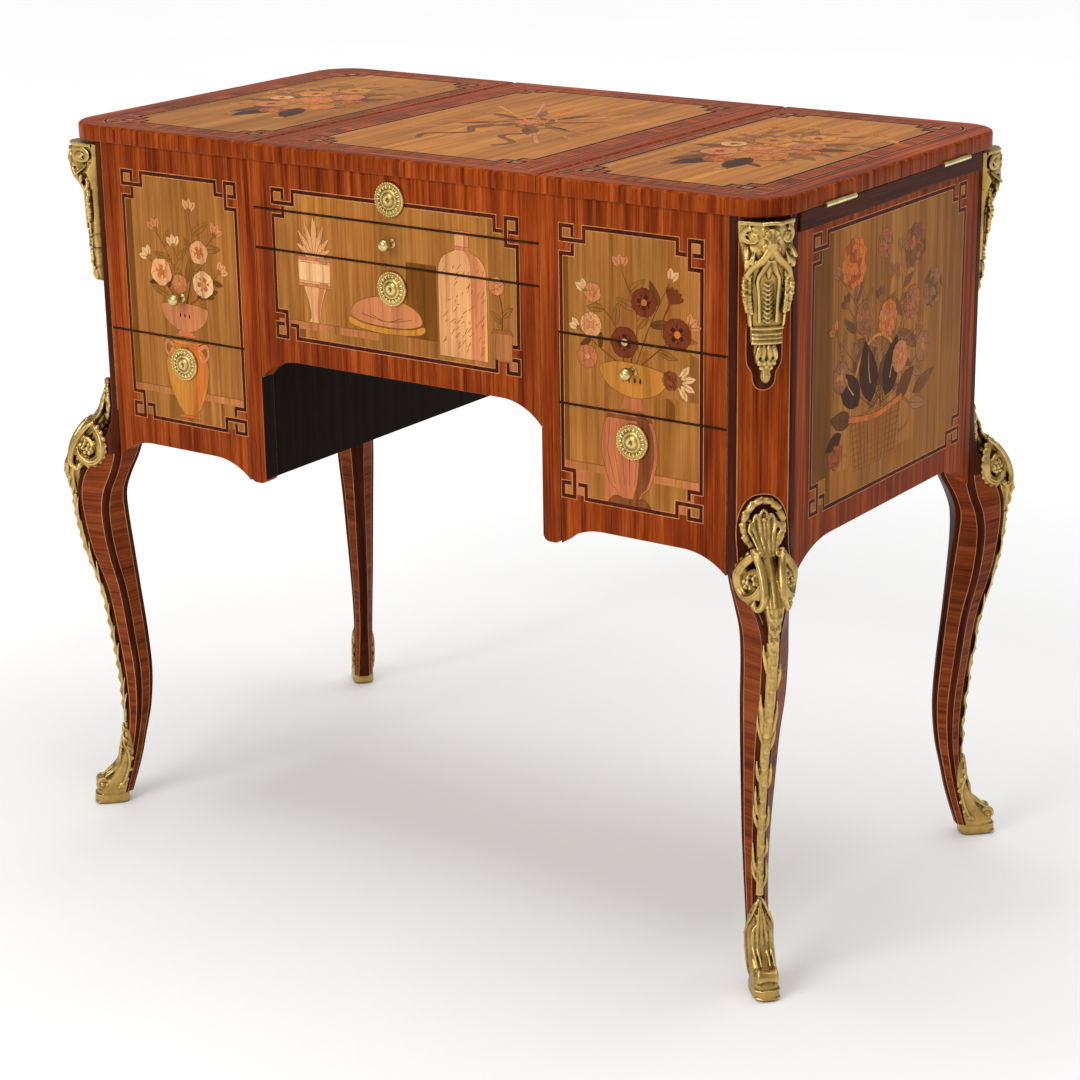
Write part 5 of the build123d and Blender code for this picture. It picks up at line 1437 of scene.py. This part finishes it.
def right_pedestal():
    """A dish of flowers over a vase, over the right pedestal's front and drawers."""
    panel = Panel(FRONT_LEVELS)
    x0, x1, y0, y1 = 191.5, 345.5, 449.5, 708.0
    panel.fret(x0, x1, y0, y1)
    panel.ground(x0, x1, y0, y1, (201.5, 240.0, 272.0, 306.0),
                 ("olive", "tan_c", "tan", "tan_b", "tan"))
    panel.lay([(274, 487), (341, 487), (341, 538), (300, 566), (274, 560)], "olive", 0)
    panel.lay([(268, 560), (341, 560), (341, 600), (316, 612), (268, 596)], "tan_d", 0)
    ledge(panel, 196.0, 341.0, 479.0, 487.0, "honey")
    panel.lay(rect(202, 336, 454, 479), "rose", 0)
    vase(panel, 267, ((459, 11), (466, 14), (474, 22), (500, 30), (522, 29), (534, 24), (542, 18)),
         "rose", "brown", ((458, 16), (536, 25)))
    for i in range(-3, 4):
        panel.lay(band([(267 + i * 5.2, 472), (267 + i * 8.0, 503), (267 + i * 7.0, 531)], 0.22),
                  "brown", 7)
    foot = smooth_line([(243, 453.6), (252, 461), (267, 457.5), (282, 461), (291, 453.6)])
    panel.cut(foot + [(267, 453.2)], "brown", 3)
    dish = smooth_ring([(235, 580), (243, 566), (262, 557), (284, 557), (302, 566), (308, 580),
                        (290, 586), (262, 588), (246, 586)])
    panel.cut(dish, "gold", 4)
    panel.cut([(258, 544), (284, 544), (280, 557), (262, 557)], "rose", 3)
    for s in (-9, -3, 3, 9):
        panel.lay(turned(disc_shape(1.0, 2.6), 0, 270 + s, 572), "ink", 8)
    for i, (x, angle, length, key) in enumerate((
            (262, 124, 74, "leaf"), (268, 96, 88, "leaf"), (274, 66, 88, "leaf_dark"),
            (278, 40, 66, "leaf"), (258, 148, 52, "leaf_dark"))):
        spray(panel, x, 585, angle, length, key, 2 + i % 2, ("ivory", "pink")[i % 2], i + 31)
    for flower in (
            (283, 645, 13.5, 7, "red", "orange", 12, 3, "dark"),
            (318, 620, 15, 8, "red", "orange", 5, 3, "dark"),
            (262, 606, 14.5, 6, "red", "ivory", 28, 3, "dark")):
        panel.flower(*flower)
    for turn in (40, 62, 84, 106):
        panel.cut(turned(petal_shape(15, 8, 0.2), turn - 12, 311, 648), "red", 3)
    panel.stem([(311, 648), (305, 636), (300, 622)], 0.9, "red", 2)
    for flower in (
            (228, 648, 9, 5, "pink", "gold", 10, 3),
            (226, 618, 12, 8, "pale", "pink", 0, 3, "pink"),
            (222, 588, 11, 7, "rose", "pale", 30, 3)):
        panel.flower(*flower)
    panel.full_flower(311, 577, 9.5, "brown", "red", 0, 4)
    for turn in (-58, -22, 14, 50):
        panel.bud(318, 577, turn, 18, 5, "ivory", 3)
    return panel


def centre_front():
    """A vase, a covered dish and a flask on a ledge, over the centre's front."""
    panel = Panel(FRONT_LEVELS)
    x0, x1, y0, y1 = -147.7, 147.7, 558.0, 708.0
    panel.fret(x0, x1, y0, y1)
    panel.ground(x0, x1, y0, y1, (-110, -66, -22, 16, 24, 72, 112),
                 ("tan", "tan_c", "tan", "tan_b", "tan", "tan", "tan_c", "tan_b"))
    panel.lay(rect(16, 52, 579, 652), "olive", 1)
    ledge(panel, -143, -19, 571, 579, "honey")
    panel.lay(rect(-118, 118, 562.2, 571), "tan_d", 0)
    vase(panel, -96, ((579, 10), (584, 6), (598, 8), (614, 14), (618, 19), (640, 20), (643, 18)),
         "pale", "pink", ((616, 20), (642, 20)))
    panel.cut(rect(-115, -77, 620, 638), "ivory", 5)
    for turn, length in ((150, 26), (130, 34), (112, 40), (96, 44), (80, 42), (64, 38), (44, 30),
                         (24, 24)):
        panel.cut(turned(leaf_shape(length, 6.5, 0.1 if turn < 90 else -0.1), turn, -96, 641),
                  "pale", 3)
        panel.lay(band(turned([(4, 0), (length * 0.8, 0)], turn, -96, 641), 0.25), "brown", 6)
    lid = smooth_ring([(-52, 594), (-46, 605), (-26, 613), (-8, 614), (10, 612), (28, 605),
                       (34, 594), (20, 588), (-9, 586), (-38, 588)])
    panel.cut(lid, "pink", 3)
    panel.cut(smooth_ring([(-54, 591), (-50, 583), (-9, 579), (32, 583), (36, 591), (20, 586.5),
                           (-9, 584.5), (-38, 586.5)]), "gold", 5)
    for w in (30, 18):
        panel.lay(band(smooth_line([(-9 - w, 596), (-9, 591), (-9 + w, 596)]), 0.3), "brown", 7)
    panel.cut(turned(disc_shape(5, 3.2), 0, -9, 616.5), "pink", 5)
    rows = ((567, 28), (640, 28), (656, 26), (664, 20), (668, 11), (671, 8), (686, 8), (688, 9.5))
    vase(panel, 82, rows, "pale", "pink", ((672, 9), (687, 10.5)), 3)
    marks = random.Random(5)
    for _ in range(60):
        mx, my = marks.uniform(58, 106), marks.uniform(571, 652)
        panel.lay(band(turned([(0, 0), (marks.uniform(3, 8), marks.uniform(-1, 1))],
                              marks.choice((38, 50, 62)), mx, my),
                       0.3), "brown", 6)
    panel.cut(rect(116, 138, 571, 596), "honey", 2)
    panel.cut([(114, 596), (140, 596), (137, 600), (117, 600)], "brown", 2)
    panel.stem([(127, 600), (127, 622), (121, 640)], 0.7, "leaf_dark", 2)
    panel.flower(121, 641, 9, 6, "pink", "gold", 0, 3)
    panel.leaf(127, 612, 40, 16, 6, "leaf", 2)
    panel.leaf(127, 606, 140, 16, 6, "leaf", 2)
    return panel


def side_front(flip):
    """A basket of flowers on a table, for the right side; flip turns it about."""
    panel = Panel(FRONT_LEVELS)
    panel.fret(-150.0, 150.0, 447.0, 708.0)
    panel.ground(-150, 150, 447, 708, (-112, -60, -4, 52, 104),
                 ("olive", "tan", "tan_b", "tan_c", "tan_b", "tan_d"))
    panel.lay([(-141, 456), (-116, 452), (116, 452), (141, 456), (141, 474), (-141, 478)], "amber",
              0)
    x = -26
    basket = [(x - 50, 522), (x - 40, 470), (x + 36, 470), (x + 50, 522)]
    panel.cut(basket, "amber", 2)
    for i in range(8):
        z = 474 + i * 6.0
        w = 40.5 + i * 1.3
        panel.lay(band([(x - w, z), (x + w, z)], 0.45), "brown", 4)
    for i in range(-6, 7):
        panel.lay(band([(x + i * 6.2, 471), (x + i * 7.9, 521)], 0.45), "olive", 5)
    for side in (-1, 1):
        handle = [(side * 50, 521), (side * 66, 512), (side * 66, 494), (side * 46, 488)]
        panel.lay(band(smooth_line([(x + a, b) for a, b in handle]), 1.6), "amber", 2)
    panel.cut(band(smooth_line([(x - 52, 522), (x, 515), (x + 52, 522)]), 2.8), "orange", 6)
    panel.cut(band(smooth_line([(x - 50, 524), (x - 34, 572), (x, 592), (x + 36, 572),
                                (x + 50, 524)]), 1.6), "gold", 2)
    pick = random.Random(17)
    for i in range(17):
        turn = 24 + 7.6 * i
        reach = min(72 / max(abs(math.cos(math.radians(turn))), 0.3),
                    150 / math.sin(math.radians(turn)))
        length = min(reach, pick.uniform(96, 150))
        tone = ("dusky", "dusky_dark", "leaf")[i % 3]
        spray(panel, x + pick.uniform(-14, 14), 524, turn, length, tone, 3,
              ("dusky", "dusky_dark", "rose", "dusky")[i % 4], i + 60, 1)
    for px, pz, turn, length, width in ((-60, 532, 128, 52, 30), (-36, 530, 96, 62, 34),
                                        (-8, 530, 62, 58, 32), (14, 522, 28, 42, 20),
                                        (-74, 520, 160, 40, 18), (-22, 544, 40, 40, 22)):
        panel.leaf(px, pz, turn, length, width, "dark" if width > 24 else "leaf_dark", 5, 0.1)
        if width > 24:
            slit = turned([(length * 0.3, 0), (length * 0.55, 2.0), (length * 0.8, 0.6)], turn, px,
                          pz)
            panel.lay(band(smooth_line(slit), 0.8, end_half=0.2), "pale", 8)
    for full_flower in (
            (-72, 668, 25, "orange", "rust", 0, 3),
            (-6, 604, 19, "orange", "pink", 20, 9),
            (46, 664, 22, "dusky_dark", "rose", 40, 3),
            (84, 616, 20, "dusky", "dusky_dark", 10, 3),
            (42, 610, 17, "rose", "dusky", 10, 9),
            (-52, 614, 17, "dusky", "rose", 30, 9),
            (-14, 676, 15, "rose", "dusky", 15, 3)):
        panel.full_flower(*full_flower)
    for flower in (
            (-94, 566, 15, 6, "dusky", "gold", 0, 4),
            (20, 562, 16, 7, "pink", "gold", 12, 9, "rose"),
            (66, 562, 15, 6, "dusky", "gold", 20, 4)):
        panel.flower(*flower)
    panel.leaf(-92, 512, 200, 30, 14, "dark", 5)
    panel.full_flower(-102, 494, 14, "rust", "brown", 0, 3)
    panel.leaf(48, 520, 20, 46, 13, "dusky_dark", 3)
    panel.leaf(40, 512, -12, 40, 12, "dusky", 3)
    if flip:
        panel.shapes = [([(-a, b) for a, b in points], key, level) for points, key,
                        level in panel.shapes]
    return panel


def back_panels():
    """Plain crossbanded fields with a dark line on the back."""
    panel = Panel(FRONT_LEVELS)
    for x0, x1, y0, y1 in ((-358, -182, 450, 720), (182, 358, 450, 720), (-158, 158, 552, 720)):
        for level, (inset, key) in enumerate(((0, "box"), (0.8, "fret"), (4.2, "box"),
                                              (5, "tulip_x"))):
            panel.lay(rect(x0 + inset, x1 - inset, y0 + inset, y1 - inset), key, level)
    return panel


def bouquet(panel, x, y, turn, seed):
    """A long bouquet with dark leaves and warm flowers, lying along the flap."""
    def put(along, over):
        return turned([(along * 1.15, over * 1.15)], turn, x, y)[0]

    for i in range(9):
        lean = -64 + 16 * i
        length = min(66 / max(abs(math.sin(math.radians(lean))), 0.3), 134 - 4 * (i % 3))
        spray(panel, *put(-6, 0), turn + lean, length, "leaf", 3,
              ("orange", "pink", "gold")[i % 3], seed + i, 1)
        if i % 2:
            spray(panel, *put(6, 0), turn + 180 + lean, length * 0.86, "leaf_dark", 2,
                  ("gold", "rose")[i % 4 // 2], seed + 20 + i, 1)
    for i, (along, over, lean, length, width, key) in enumerate((
            (-44, 4, 172, 66, 27, "dark"), (-40, 14, 148, 52, 20, "leaf_dark"),
            (-40, -12, 208, 60, 24, "dark"), (14, 26, 58, 44, 17, "leaf"),
            (18, -26, -56, 46, 18, "leaf_dark"), (58, 6, 14, 52, 17, "leaf"),
            (-8, 30, 112, 38, 15, "olive"), (-6, -30, 246, 40, 15, "leaf"),
            (36, -22, -28, 44, 15, "olive"))):
        panel.leaf(*put(along, over), turn + lean, length, width, key, 4, 0.12 if i % 2 else -0.12)
    blooms = ((0, 0, 23, "orange", "pink"), (36, 20, 17, "gold", "orange"),
              (30, -20, 18, "pink", "rose"), (-30, 24, 17, "pink", "orange"),
              (-28, -26, 17, "orange", "gold"), (66, -4, 16, "gold", "honey"),
              (-58, 2, 15, "rust", "orange"), (4, 36, 12, "pale", "gold"),
              (8, -38, 12, "orange", "rust"))
    for i, (along, over, radius, key, inner) in enumerate(blooms):
        if i % 2:
            panel.flower(*put(along, over), radius * 1.1, 6, key, "red", turn + 20 * i, 8, inner)
        else:
            panel.full_flower(*put(along, over), radius * 1.1, key, inner, turn + 17 * i, 8)


def trophy(panel, x, y):
    """Sheaves of rods and leaves crossed under ribbons, with a wreath at the middle."""
    for i, turn in enumerate((-74, -52, -34, -18, 18, 34, 52, 74, 96, 118, 142, 162, 198, 222, 246,
                              266)):
        length = 86 + 11 * ((i * 7) % 4)
        rod = turned([(8, -1.4), (length, -2.6), (length + 6, 0), (length, 2.6), (8, 1.4)], turn,
                     x, y)
        panel.cut(rod, ("orange", "pink", "gold", "honey")[i % 4], 1 + i % 2, 0.3)
    for i, turn in enumerate((-62, -26, 26, 62, 108, 152, 206, 236)):
        panel.leaf(*turned([(30, 0)], turn, x, y)[0], turn + 8, 44, 10,
                   ("leaf_dark", "leaf", "olive")[i % 3], 2)
    for side in (-1, 1):
        ribbon = smooth_line([(x + side * 6, y - 14), (x + side * 36, y - 46),
                              (x + side * 20, y - 78), (x + side * 52, y - 104),
                              (x + side * 44, y - 128)])
        panel.cut(band(ribbon, 4.2, end_half=2.4), "olive", 3)
        loop = smooth_line([(x, y - 14), (x + side * 22, y - 4), (x + side * 34, y - 22),
                            (x + side * 14, y - 30), (x, y - 16)])
        panel.cut(band(loop, 2.6), "leaf", 4)
    panel.full_flower(x, y, 17, "orange", "pink", 0, 4)
    for k in range(10):
        a = 2 * math.pi * k / 10
        panel.leaf(x + 19 * math.cos(a), y + 19 * math.sin(a), math.degrees(a) + 70, 15, 6,
                   "leaf_dark", 3, vein=False)


def make_top():
    """The three flaps, then the marquetry on each."""
    tans = ("tan_top", "tan_b_top", "tan_c_top")
    flaps = (
        ("right", (SIDE_JOINT_X, FLAP_X, (1,)), (9.5, 19.0), (28.0, 46.0), (228, 264, 300, 338),
         tans),
        ("left", (-FLAP_X, -SIDE_JOINT_X, (-1,)), (28.0, 46.0), (9.5, 19.0),
         (-346, -300, -264, -228), ("tan_d_top", "tan_b_top", "tan_top")),
        ("centre", (-CENTRE_JOINT_X, CENTRE_JOINT_X, ()), (24.0, 43.0), (24.0, 43.0),
         (-84, -40, 4, 48, 86), tans),
    )
    for name, outline, *_ in flaps:
        make_flap("top_flap_" + name, "flap_" + name, name + "_flap", *outline)
    for name, outline, *lines in flaps:
        panel = top_panel(*outline, *lines)
        if name == "right":
            bouquet(panel, 281, -6, 82, 100)
        elif name == "left":
            bouquet(panel, -281, 8, 95, 140)
        else:
            trophy(panel, 0, 10)
        panel.build("marquetry_flap_" + name, top_place, name + "_flap")


LEATHER_TOP = 1000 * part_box("slide_leather")[1][2]


def slide_place(x, y, rise):
    """On the leather of the writing slide."""
    return (x, y, LEATHER_TOP + rise)


def make_tooling():
    """Two gilt lines with corner flowers, tooled into the writing slide's leather."""
    (x0, y0, _), (x1, y1, _) = [[v * 1000 for v in corner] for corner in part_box("slide_leather")]
    panel = Panel(FRONT_LEVELS)
    for inset, half in ((9.0, 0.7), (12.0, 0.3)):
        a, b, c, d = x0 + inset, x1 - inset, y0 + inset, y1 - inset
        for run in ([(a, c), (b, c)], [(a, d), (b, d)], [(a, c), (a, d)], [(b, c), (b, d)]):
            panel.lay(band(run, half), "gilding", 0)
    for x in (x1 - 18, x0 + 18):
        for y in (y1 - 18, y0 + 18):
            for turn in (45, 135, 225, 315):
                panel.lay(turned(petal_shape(6.5, 2.6), turn, x, y), "gilding", 1)
    panel.build("leather_tooling", slide_place, "writing_slide", slot="gilt_bronze")


def curved_place(corner):
    """Shapes written across and up a corner's face, bent over the leg."""
    return lambda s, z, rise: corner_point(s, outer_at(z) + rise, z, corner)


def recess_panel():
    """The dark grounds with pale outlines behind the chute's drop and the knee mount."""
    panel = Panel(FRONT_LEVELS)
    drop = [(0, 577), (5.5, 578.5), (9.5, 584), (10.6, 593), (14.6, 600), (15.8, 610), (15.8, 636)]
    knee = [(0, 480.5), (9, 479), (17, 472), (22, 460), (23.6, 446), (23.4, 430), (24.2, 414)]
    for half in (drop, knee):
        mirrored = [(-s, z) for s, z in half[::-1]]
        outline = smooth_line(mirrored, 3)[:-1] + smooth_line(half, 3)
        panel.lay(grown(outline, 0.9), "box", 2)
        panel.lay(outline, "amaranth", 4)
    return panel


def make_fronts():
    """The marquetry of every upright face, and the dark grounds on the corners."""
    # A dark ink strip over each joint between two fronts is a painted shadow of the gap, and each
    # front takes the part of its panel that lies between its limits.
    panels = {"left": left_pedestal(), "right": right_pedestal(), "centre": centre_front()}
    for name, x, z in (("left", -280.0, 540.5), ("right", 280.0, 540.5), ("right", 280.0, 606.8),
                       ("centre", 0, 646.5), ("centre", 0, 686.0)):
        half = 169.0 if name == "centre" else 88.8
        # The ink strip paints the shadow in the gap between two fronts.
        panels[name].lay(rect(x - half, x + half, z - 1.15, z + 0.95), "ink", 22)
    for side, part, body, limits in (
            ("left", "left_panel", "base", (541.0, 735.0)),
            ("left", "left_drawer", "left_drawer", (400.0, 540.0)),
            ("right", "right_panel", "base", (607.5, 735.0)),
            ("right", "right_middle_drawer", "right_middle_drawer", (541.0, 606.5)),
            ("right", "right_lower_drawer", "right_lower_drawer", (400.0, 540.0)),
            ("centre", "centre_rail", "base", (686.5, 735.0)),
            ("centre", "slide", "writing_slide", (647.0, 685.5)),
            ("centre", "centre_drawer", "centre_drawer", (500.0, 646.0))):
        panels[side].build("marquetry_" + part, front_place, body, limits)
    side_front(False).build("marquetry_side_right", right_place, "base")
    side_front(True).build("marquetry_side_left", left_place, "base")
    back_panels().build("banding_back", back_place, "base")
    recess = recess_panel()
    bends = [KNEE_MID_Z + RING_STEP * i for i in range(13)] + [LEG_TOP_Z - 1, LEG_TOP_Z + 1]
    for name, corner in CORNERS.items():
        recess.build("recess_" + name, curved_place(corner), "base", None, bends)


make_top()
make_fronts()
make_tooling()
for CORNER_NAME, CORNER in CORNERS.items():
    make_leg(CORNER_NAME, CORNER)
make_chutes()
make_knees()
make_leg_mounts()
make_sabots()
make_rosette("rosette_rail", "escutcheon_rail", "base", 0, 710)
make_rosette("rosette_centre", "drawer_centre_escutcheon", "centre_drawer", 0, 624.5)
make_rosette("rosette_left", "drawer_left_escutcheon", "left_drawer", -271, 514.5)
make_rosette("rosette_right", "drawer_right_lower_escutcheon", "right_lower_drawer", 271, 514.5)
make_knob("turned_knob_left", "knob_left_panel", "base", -271, 583)
make_knob("turned_knob_slide", "slide_knob", "writing_slide", 0, 668)
make_knob("turned_knob_right", "drawer_right_middle_knob", "right_middle_drawer", 271, 580)


# ---------------------------------------------------------------- CAD nodes kept
# The finish of each CAD node that stays visible: its own one, or its slot's.
FRONTS = ("front_panel_left", "front_panel_right", "front_rail_centre", "slide_front",
          "drawer_centre_front", "drawer_left_front", "drawer_right_middle_front",
          "drawer_right_lower_front")
FINISHES = {
    **dict.fromkeys(FRONTS, FRONT_BOARD),
    "back_panel_centre": BACK_BOARD,
    "back_panels_outer": BACK_BOARD,
    "inner_stiles": STILE_BOARD,
    "partitions": WOODS["black"],
    "side_panel_right": RIGHT_BOARD,
    "side_panel_left": LEFT_BOARD,
    "side_rails": WOODS["amaranth_y"],
    "mirror_glass": MIRROR,
    "mirror_moulding": WOODS["amaranth_y"],
    "slide_leather": LEATHER,
    "slide_board": WOODS["oak_x"],
    "dust_boards": WOODS["oak_x"],
    "hinge_pins": STEEL,
}
BY_SLOT = {"oak": WOODS["oak_y"], "brass": BRASS, "gilt_bronze": GILT, "steel": STEEL,
           "tulipwood": WOODS["tulip_z"], "amaranth": WOODS["amaranth"]}
BOARDS = ("oak", "tulipwood", "amaranth", "ebonised_wood")
for NODE_NAME, NODE in NODES.items():
    SLOT = NODE.data.materials[0].name
    for material_slot in NODE.material_slots:
        material_slot.material = FINISHES.get(NODE_NAME) or BY_SLOT[SLOT]
    if SLOT in BOARDS and not NODE.hide_render:
        weld = NODE.modifiers.new("weld", "WELD")
        weld.merge_threshold = SAME_PLACE
        bevel = NODE.modifiers.new("bevel", "BEVEL")
        bevel.width = 0.5 * MM
        bevel.segments = 2
        bevel.limit_method = "ANGLE"
        bevel.angle_limit = math.radians(40)
        bevel.harden_normals = True


# ---------------------------------------------------------------- studio
WORLD_STRENGTH = 0.4
FLOOR_GLOW = 0.6
FLOOR_HALF = 12.0


def make_floor():
    """A pale floor that glows a little more the farther it is from the table."""
    bm = bmesh.new()
    bmesh.ops.create_grid(bm, x_segments=2, y_segments=2, size=FLOOR_HALF)
    mesh = bpy.data.meshes.new("studio_floor")
    bm.to_mesh(mesh)
    bm.free()
    made = Finish("studio_floor", 0.6)
    tone = made.noise(made.at(1.4), detail=3.0)
    made.colour(made.ramp(tone, [(0.3, rgb(240, 240, 240)), (0.7, rgb(246, 246, 246))]))
    away = made.node("ShaderNodeVectorMath", operation="LENGTH")
    made.link(made.place, away.inputs[0])
    far = made.ramp(made.math("DIVIDE", away.outputs["Value"], 4.0),
                    [(0.2, grey(0.2)), (0.62, WHITE)])
    made.link(far, made.shader.inputs["Emission Color"])
    made.shader.inputs["Emission Strength"].default_value = FLOOR_GLOW
    mesh.materials.append(made.mat)
    floor = bpy.data.objects.new("studio_floor", mesh)
    bpy.context.scene.collection.objects.link(floor)


def make_camera():
    """The photograph's viewing angle: three turns, a place in metres and a lens."""
    yaw, pitch, roll = 0.613979, 0.315221, -0.015272
    ahead = Vector((-math.sin(yaw) * math.cos(pitch), math.cos(yaw) * math.cos(pitch),
                    -math.sin(pitch)))
    level = Vector((math.cos(yaw), math.sin(yaw), 0))
    above = level.cross(ahead)
    right = math.cos(roll) * level + math.sin(roll) * above
    up = -math.sin(roll) * level + math.cos(roll) * above
    data = bpy.data.cameras.new("camera")
    data.sensor_width = 36
    data.lens = 90.16
    data.clip_end = 100
    camera = bpy.data.objects.new("camera", data)
    bpy.context.scene.collection.objects.link(camera)
    place = Matrix((right, up, -ahead)).transposed().to_4x4()
    place.translation = Vector((1.55885, -2.19605, 1.19099))
    camera.matrix_world = place
    bpy.context.scene.camera = camera


def make_light(name, place, target, size, power):
    """A soft rectangular light turned to a target."""
    data = bpy.data.lights.new(name, "AREA")
    data.shape = "RECTANGLE"
    data.size, data.size_y = size
    data.energy = power
    light = bpy.data.objects.new(name, data)
    light.location = place
    light.rotation_euler = (Vector(target) - Vector(place)).to_track_quat("-Z", "Y").to_euler()
    bpy.context.scene.collection.objects.link(light)


def make_world():
    """Even white light from all round."""
    world = bpy.data.worlds.new("studio")
    bpy.context.scene.world = world
    world.use_nodes = True
    background = world.node_tree.nodes["Background"]
    background.inputs["Color"].default_value = WHITE
    background.inputs["Strength"].default_value = WORLD_STRENGTH


make_floor()
make_camera()
make_world()
make_light("key", (-0.4, -3.1, 2.2), (0, 0, 0.5), (1.8, 1.8), 54)
make_light("fill", (2.6, -2.2, 1.6), (0, 0, 0.5), (1.6, 1.6), 4)
make_light("top", (0.0, 0.3, 3.0), (0, 0, 0.5), (2.4, 2.4), 50)
bpy.context.scene.view_settings.view_transform = "Standard"

bpy.context.view_layer.update()
